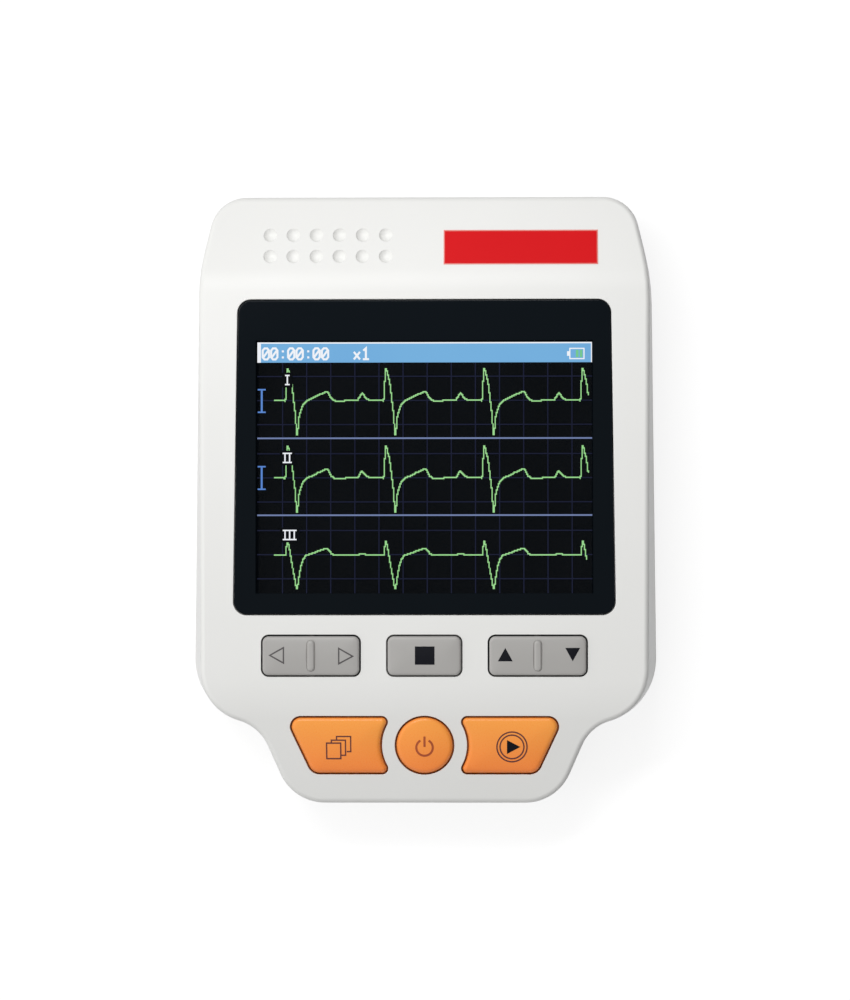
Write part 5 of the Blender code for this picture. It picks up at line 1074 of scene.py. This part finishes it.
# Each lead's number stands in a dark gap in its line.
NUMERAL_PITCH = 4.4
for number, (column, row) in enumerate(((28.7, 31.0), (28.7, 105.6), (31.0, 179.3)), 1):
    left = column - NUMERAL_PITCH / 2 * number - 1.8
    gap = area(left - 1.0, row - 2.0, left + NUMERAL_PITCH * number + 4.6, row + 12.2)
    shown(f"lead_gap_{number}", [gap], GAP_LIFT, display_glass)
    for place in range(number):
        quads = sign("I", left + place * NUMERAL_PITCH, row, 1.3)
        shown(f"lead_name_{number}_{place + 1}", quads, NUMERAL_LIFT, lit_white)


# --- Keys ---------------------------------------------------------------------------------
# Moulded caps with a slight crown, three grey and three orange. A flange under the face
# holds each one in, or a pin at each long side of a rocker; a stem stands over each dome.
PROUD = 0.8                 # how far a cap stands over the face
CAP_FOOT, FLANGE_TOP, FLANGE_REACH = -3.0, -2.5, 1.2
STEM_RADIUS, STEM_FOOT, ROCKER_STEM_X = 2.2, 16.9, 6.5
STEM_SHORT, ROCKER_STEM_SHORT = 3.4, 2.9     # a stem ends this far under the face, in the cap
ROCKER_PIN_RADIUS, ROCKER_PIN_REACH = 0.7, 6.5
satin = {"size": 0.35, "depth": 0.003}
key_grey = moulded("key_grey", rgb(183, 181, 178), rgb(175, 173, 170), 0.36, **satin)
key_orange = moulded(
    "key_orange", rgb(252, 150, 66), rgb(248, 143, 60), 0.28, **satin, Emission_Strength=1)
# Painted glow: the orange tops give off light of their own, a painted stand-in for light through the
# caps, and brighter and yellower towards the screen as a painted highlight. The attribute keeps the
# painted glow off their sides, which would otherwise glow in the gaps.
top_share = key_orange.node("ShaderNodeAttribute", {"attribute_name": "above_face"}, output="Fac")
along = key_orange.node("ShaderNodeSeparateXYZ", None, (key_orange.place(),), output="Y")
rise = key_orange.node("ShaderNodeMapRange", None, (along, -57.8 * MM, -45.4 * MM))
painted_glow = key_orange.blend(rise, (0.136, 0.005, 0.001, 1), (0.163, 0.120, 0.017, 1))
key_orange.feed(Emission_Color=key_orange.blend(top_share, (0, 0, 0, 1), painted_glow))


def key_finish(name):
    return key_orange if name in ON_CHIN else key_grey


def distance_inside(point, loop):
    """How far a point lies inside a closed loop."""
    nearest = 1e9
    for start, end in zip(loop, loop[1:] + loop[:1]):
        way = end - start
        share = max(0.0, min(1.0, (point - start).dot(way) / max(way.length_squared, 1e-12)))
        nearest = min(nearest, (point - start - way * share).length)
    return nearest


def gridded(bm, faces, pitch):
    """Cut the faces along a square grid, so that they can follow a crown."""
    verts = [vert.co.copy() for face in faces for vert in face.verts]
    for axis in (0, 1):
        low, high = min(co[axis] for co in verts), max(co[axis] for co in verts)
        count = max(1, round((high - low) / pitch))
        for number in range(1, count):
            place = Vector((0, 0, 0))
            place[axis] = low + (high - low) * number / count
            normal = Vector((0, 0, 0))
            normal[axis] = 1
            patch = {item for face in faces for item in (face, *face.edges, *face.verts)}
            cut = bmesh.ops.bisect_plane(bm, geom=list(patch), plane_co=place, plane_no=normal)
            faces = [item for item in cut["geom"] if isinstance(item, bmesh.types.BMFace)]


class Cap:
    """Crowned top of a key: its loop, its edge and the height of its surface anywhere."""

    def __init__(self, path, plane, proud, edge, crown, reach):
        self.path, self.plane, self.proud = path, plane, proud
        self.edge, self.crown, self.reach = edge, crown, reach
        self.last = math.pi / 2 - math.atan(2 * crown / reach)
        self.loop = grown(path, -edge * (1 - math.cos(self.last)))

    def height(self, x, y):
        share = min(1.0, distance_inside(Vector((x, y)), self.loop) / self.reach)
        rim = self.proud - self.edge * (1 - math.sin(self.last))
        return self.plane(y) + rim + self.crown * (1 - (1 - share) ** 2)

    def solid(self, name, foot):
        bm = bmesh.new()
        turns = [self.last * number / 7 for number in range(8)]
        top = stepped(bm, self.path, [(0, foot)] + [
            (-self.edge * (1 - math.cos(turn)), self.proud - self.edge * (1 - math.sin(turn)))
            for turn in turns
        ], self.plane)
        rim = set(bm.verts)
        gridded(bm, [top], 0.75)
        for vert in bm.verts:
            if vert not in rim:
                vert.co.z = self.height(vert.co.x, vert.co.y)
        return new_piece(name, bm)


CAPS = {}
for name, path in KEY_PATHS.items():
    reach, crown, edge = (5.6, 0.34, 1.0) if name in ON_CHIN else (4.2, 0.22, 0.55)
    CAPS[name] = Cap(path, key_plane(name), PROUD - crown, edge, crown, reach)

# Where each key stands over the keypad's domes.
STEMS = {
    "stop_key": [(0, GREY_ROW)], "power_key": [(0, ORANGE_ROW)],
    "review_key": [(-17.4, ORANGE_ROW)], "measure_key": [(17.4, ORANGE_ROW)],
}
for name, x in ROCKERS.items():
    STEMS[name] = [(x - ROCKER_STEM_X, GREY_ROW), (x + ROCKER_STEM_X, GREY_ROW)]
for name, cap in CAPS.items():
    key = cap.solid(f"{name}_cap", CAP_FOOT)
    plane = key_plane(name)
    rocks = name in ROCKERS
    bm = bmesh.new()
    if not rocks:
        flange = ((FLANGE_REACH, -3.5), (FLANGE_REACH, FLANGE_TOP))
        stepped(bm, KEY_PATHS[name], flange, plane)
    for x, y in STEMS[name]:
        short = ROCKER_STEM_SHORT if rocks else STEM_SHORT
        peg(bm, x, y, STEM_RADIUS, STEM_FOOT, plane(y) - short)
    if rocks:
        x = ROCKERS[name]
        pin = on_circle(x, ROCKER_AXIS, ROCKER_PIN_RADIUS, full_turn(20))
        bar(bm, pin, GREY_ROW - ROCKER_PIN_REACH, GREY_ROW + ROCKER_PIN_REACH)
    shape(key, new_piece("flange_and_stems", bm), "UNION")
    if rocks:
        # the raised bar across a rocker's middle, in a shallow moat
        moat = rounded_rectangle(x, GREY_ROW, 1.6, 6.5, 0.79)
        bm = bmesh.new()
        stepped(bm, moat, ((0.02, 0.55), (0.22, 0.78), (0.22, 2.0)), at(FACE))
        shape(key, new_piece("moat", bm))
        ridge = Cap(moat, at(FACE), 1.05, 0.5, 0.05, 0.4)
        shape(key, ridge.solid("ridge", 0.2), "UNION")
    # How far each point stands over the face, so that the orange keys' painted glow shows on their tops
    # only.
    above_face = key.data.attributes.new("above_face", "FLOAT", "POINT")
    for vertex, share in zip(key.data.vertices, above_face.data):
        lift = vertex.co.z / MM - plane(vertex.co.y / MM)
        share.value = max(0, min(1, 0.4 + lift / PROUD))
    finish_piece(key, [key_finish(name)], body=name, nodes=[name])


# Signs, pad-printed on the caps.
def ink(name, colour, other, **sockets):
    finish = Finish(name, Roughness=0.5, **sockets)
    finish.clouded(1.5 * MM, colour, other)
    return finish


ink_black = ink("ink_black", rgb(10, 12, 20), rgb(16, 18, 28), Specular_IOR_Level=0.15)
ink_line = ink("ink_line", rgb(78, 74, 76), rgb(92, 88, 88))
ink_brown = ink("ink_brown", rgb(96, 44, 46), rgb(112, 54, 50))
ink_rust = ink("ink_rust", rgb(176, 78, 36), rgb(188, 86, 42))
INK, INK_PROUD, INK_LINE = 0.03, 0.02, 0.3


def printed(name, shapes, key, finish):
    """Thin ink that follows a key's crown."""
    bm = bmesh.new()
    for corners in shapes:
        bm.faces.new([bm.verts.new((point[0], point[1], 0)) for point in corners])
    bmesh.ops.remove_doubles(bm, verts=bm.verts, dist=0.001)
    gridded(bm, list(bm.faces), 0.5)
    for face in bm.faces:
        face.normal_update()
        if face.normal.z < 0:
            face.normal_flip()
    for vert in bm.verts:
        vert.co.z = CAPS[key].height(vert.co.x, vert.co.y) + INK_PROUD
    film(name, bm, INK, finish, key, key_finish(key).name)


def ring_line(x, y, radius, start=0.0, sweep=360.0, steps=40):
    turns = [math.radians(start + sweep * step / steps) for step in range(steps + (sweep < 360))]
    return on_circle(x, y, radius, turns)


left_sign = [(-32.25, -32.7), (-29.4, -31.1), (-29.4, -34.3)]
right_sign = [(-17.85, -31.25), (-17.85, -34.45), (-14.95, -32.9)]
up_sign = [(16.9, -31.15), (18.45, -33.95), (15.35, -33.95)]
down_sign = [(29.4, -31.15), (32.5, -31.15), (30.95, -33.95)]
stop_sign = [(-1.95, -30.85), (2.15, -30.85), (2.15, -34.65), (-1.95, -34.65)]
printed("left_sign", stroke(left_sign, INK_LINE, True), "left_right_rocker", ink_line)
printed("right_sign", stroke(right_sign, INK_LINE, True), "left_right_rocker", ink_line)
printed("up_sign", [up_sign], "up_down_rocker", ink_black)
printed("down_sign", [down_sign], "up_down_rocker", ink_black)
printed("stop_sign", [stop_sign], "stop_key", ink_black)

power_ring = stroke(ring_line(0, ORANGE_ROW - 0.45, 1.72, 120, 300), 0.46)
power_bar = stroke([(0, ORANGE_ROW - 0.3), (0, ORANGE_ROW + 1.9)], 0.46)
printed("power_sign", power_ring + power_bar, "power_key", ink_rust)
sign_x, sign_y = 18.3, ORANGE_ROW - 0.3
for name, radius in (("measure_ring_1", 3.15), ("measure_ring_2", 2.5)):
    printed(name, stroke(ring_line(sign_x, sign_y, radius), INK_LINE, True), "measure_key", ink_brown)
arrow = [(sign_x - 1.05, sign_y + 1.45), (sign_x + 1.75, sign_y), (sign_x - 1.05, sign_y - 1.5)]
printed("measure_sign", [arrow], "measure_key", ink_black)
left, low, width, height = -20.5, ORANGE_ROW - 2.8, 2.95, 3.3
card = [(left, low), (left, low + height), (left + width, low + height), (left + width, low)]
printed("card_1", stroke(card, INK_LINE, True), "review_key", ink_brown)
for number, across, up in ((2, 1.0, 0.62), (3, 2.1, 1.4)):
    x, y = left + across, low + up
    top, end = y + height, x + width
    behind = [(x, top - 0.62), (x, top), (end, top), (end, y + 0.1), (end - 0.85, y + 0.1)]
    printed(f"card_{number}", stroke(behind, 0.28), "review_key", ink_brown)


# --- Red label ----------------------------------------------------------------------------
# Thin red foil stuck on the brow beside the sounder's dimples, whose slope it follows. Its
# cut edge is paler.
LABEL_LEFT, LABEL_RIGHT, LABEL_LOW, LABEL_HIGH = 4.08, 36.45, 49.15, 56.53
LABEL_EDGE = 0.25
label_red = Finish("label_red", Specular_IOR_Level=0.05)
tone = label_red.clouded(9 * MM, rgb(222, 20, 27), rgb(227, 26, 32))
label_red.feed(Roughness=tone * 0.08 + 0.32)
label_edge = Finish("label_edge", Roughness=0.4)
label_edge.clouded(4 * MM, rgb(230, 120, 112), rgb(236, 140, 130))

bm = bmesh.new()
for inset, low, high, index in ((0, -0.02, 0.06, 1), (LABEL_EDGE, 0.06, 0.09, 0)):
    before = set(bm.faces)
    x0, x1, y0, y1 = LABEL_LEFT + inset, LABEL_RIGHT - inset, LABEL_LOW + inset, LABEL_HIGH - inset
    outline = [Vector((x0, y0)), Vector((x0, y1)), Vector((x1, y1)), Vector((x1, y0))]
    loft(bm, [raised(outline, over(face_height, lift)) for lift in (low, high)])
    for face in set(bm.faces) - before:
        face.material_index = index
finish_piece(new_piece("red_label", bm), [label_red, label_edge])


# --- Inside -------------------------------------------------------------------------------
# The panel's frame and flex, the green board with its chips and can, sounder and sockets, the
# silicone keypad, the battery and the contacts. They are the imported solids, held by screws,
# posts and tape between the shells, and only their finishes are set here.
dress(moulded("tape_black", rgb(28, 28, 28), rgb(36, 36, 36), 0.8), "window_adhesive")
foam_black = moulded("foam_black", rgb(34, 34, 35), rgb(48, 48, 48), 0.95, size=0.5, depth=0.05)
dress(foam_black, "display_gasket")
dress(moulded("frame_plastic", rgb(54, 54, 58), rgb(62, 62, 66), 0.5), "display_frame")
dress(moulded("socket_plastic", rgb(46, 46, 50), rgb(54, 54, 58), 0.45), "lead_socket")
dress(moulded("flex_amber", rgb(186, 118, 48), rgb(168, 100, 38), 0.35), "display_flex")
connector_ivory = moulded("connector_ivory", rgb(226, 218, 198), rgb(216, 208, 186), 0.5)
dress(connector_ivory, "flex_connector", "battery_connector")
chip_black = moulded("chip_black", rgb(34, 34, 36), rgb(42, 42, 44), 0.55, depth=0.01)
dress(chip_black, "processor", "ecg_amplifier")
dress(moulded("sounder_black", rgb(30, 30, 32), rgb(38, 38, 40), 0.45), "sounder")
dress(moulded("silicone_grey", rgb(186, 186, 186), rgb(176, 176, 178), 0.7, size=0.6), "silicone_keypad")
dress(plated("tin_plate", rgb(206, 206, 202), rgb(186, 186, 184), 0.34), "shield_can", "data_socket")
gold_plate = plated("gold_plate", rgb(226, 186, 108), rgb(206, 164, 88), 0.3)
dress(gold_plate, "contact_blade_1", "contact_blade_2", "contact_blade_3")
dress(gold_plate, "left_spring_pin", "right_spring_pin")
dress(zinc_steel, "board_screw_1", "board_screw_2", "board_screw_3", "board_screw_4")

board_green = Finish("board_green")
cells_on_board = {"Vector": board_green.place(), "Scale": 420.0}
tracks = board_green.node("ShaderNodeTexVoronoi", {"distance": "MANHATTAN"}, cells_on_board) > 0.55
board_green.feed(Base_Color=board_green.blend(tracks, rgb(20, 96, 56), rgb(34, 122, 72)))
board_green.feed(Roughness=board_green.noise(2 * MM) * 0.12 + 0.36)
board_green.relief(tracks, 0.03 * MM)
dress(board_green, "main_board")

cell_wrap = Finish("cell_wrap")
wrinkle = cell_wrap.clouded(5 * MM, rgb(58, 66, 84), rgb(66, 76, 96), 4.0)
cell_wrap.feed(Roughness=wrinkle * 0.2 + 0.3)
cell_wrap.relief(wrinkle, 0.12 * MM)
dress(cell_wrap, "battery_pack")
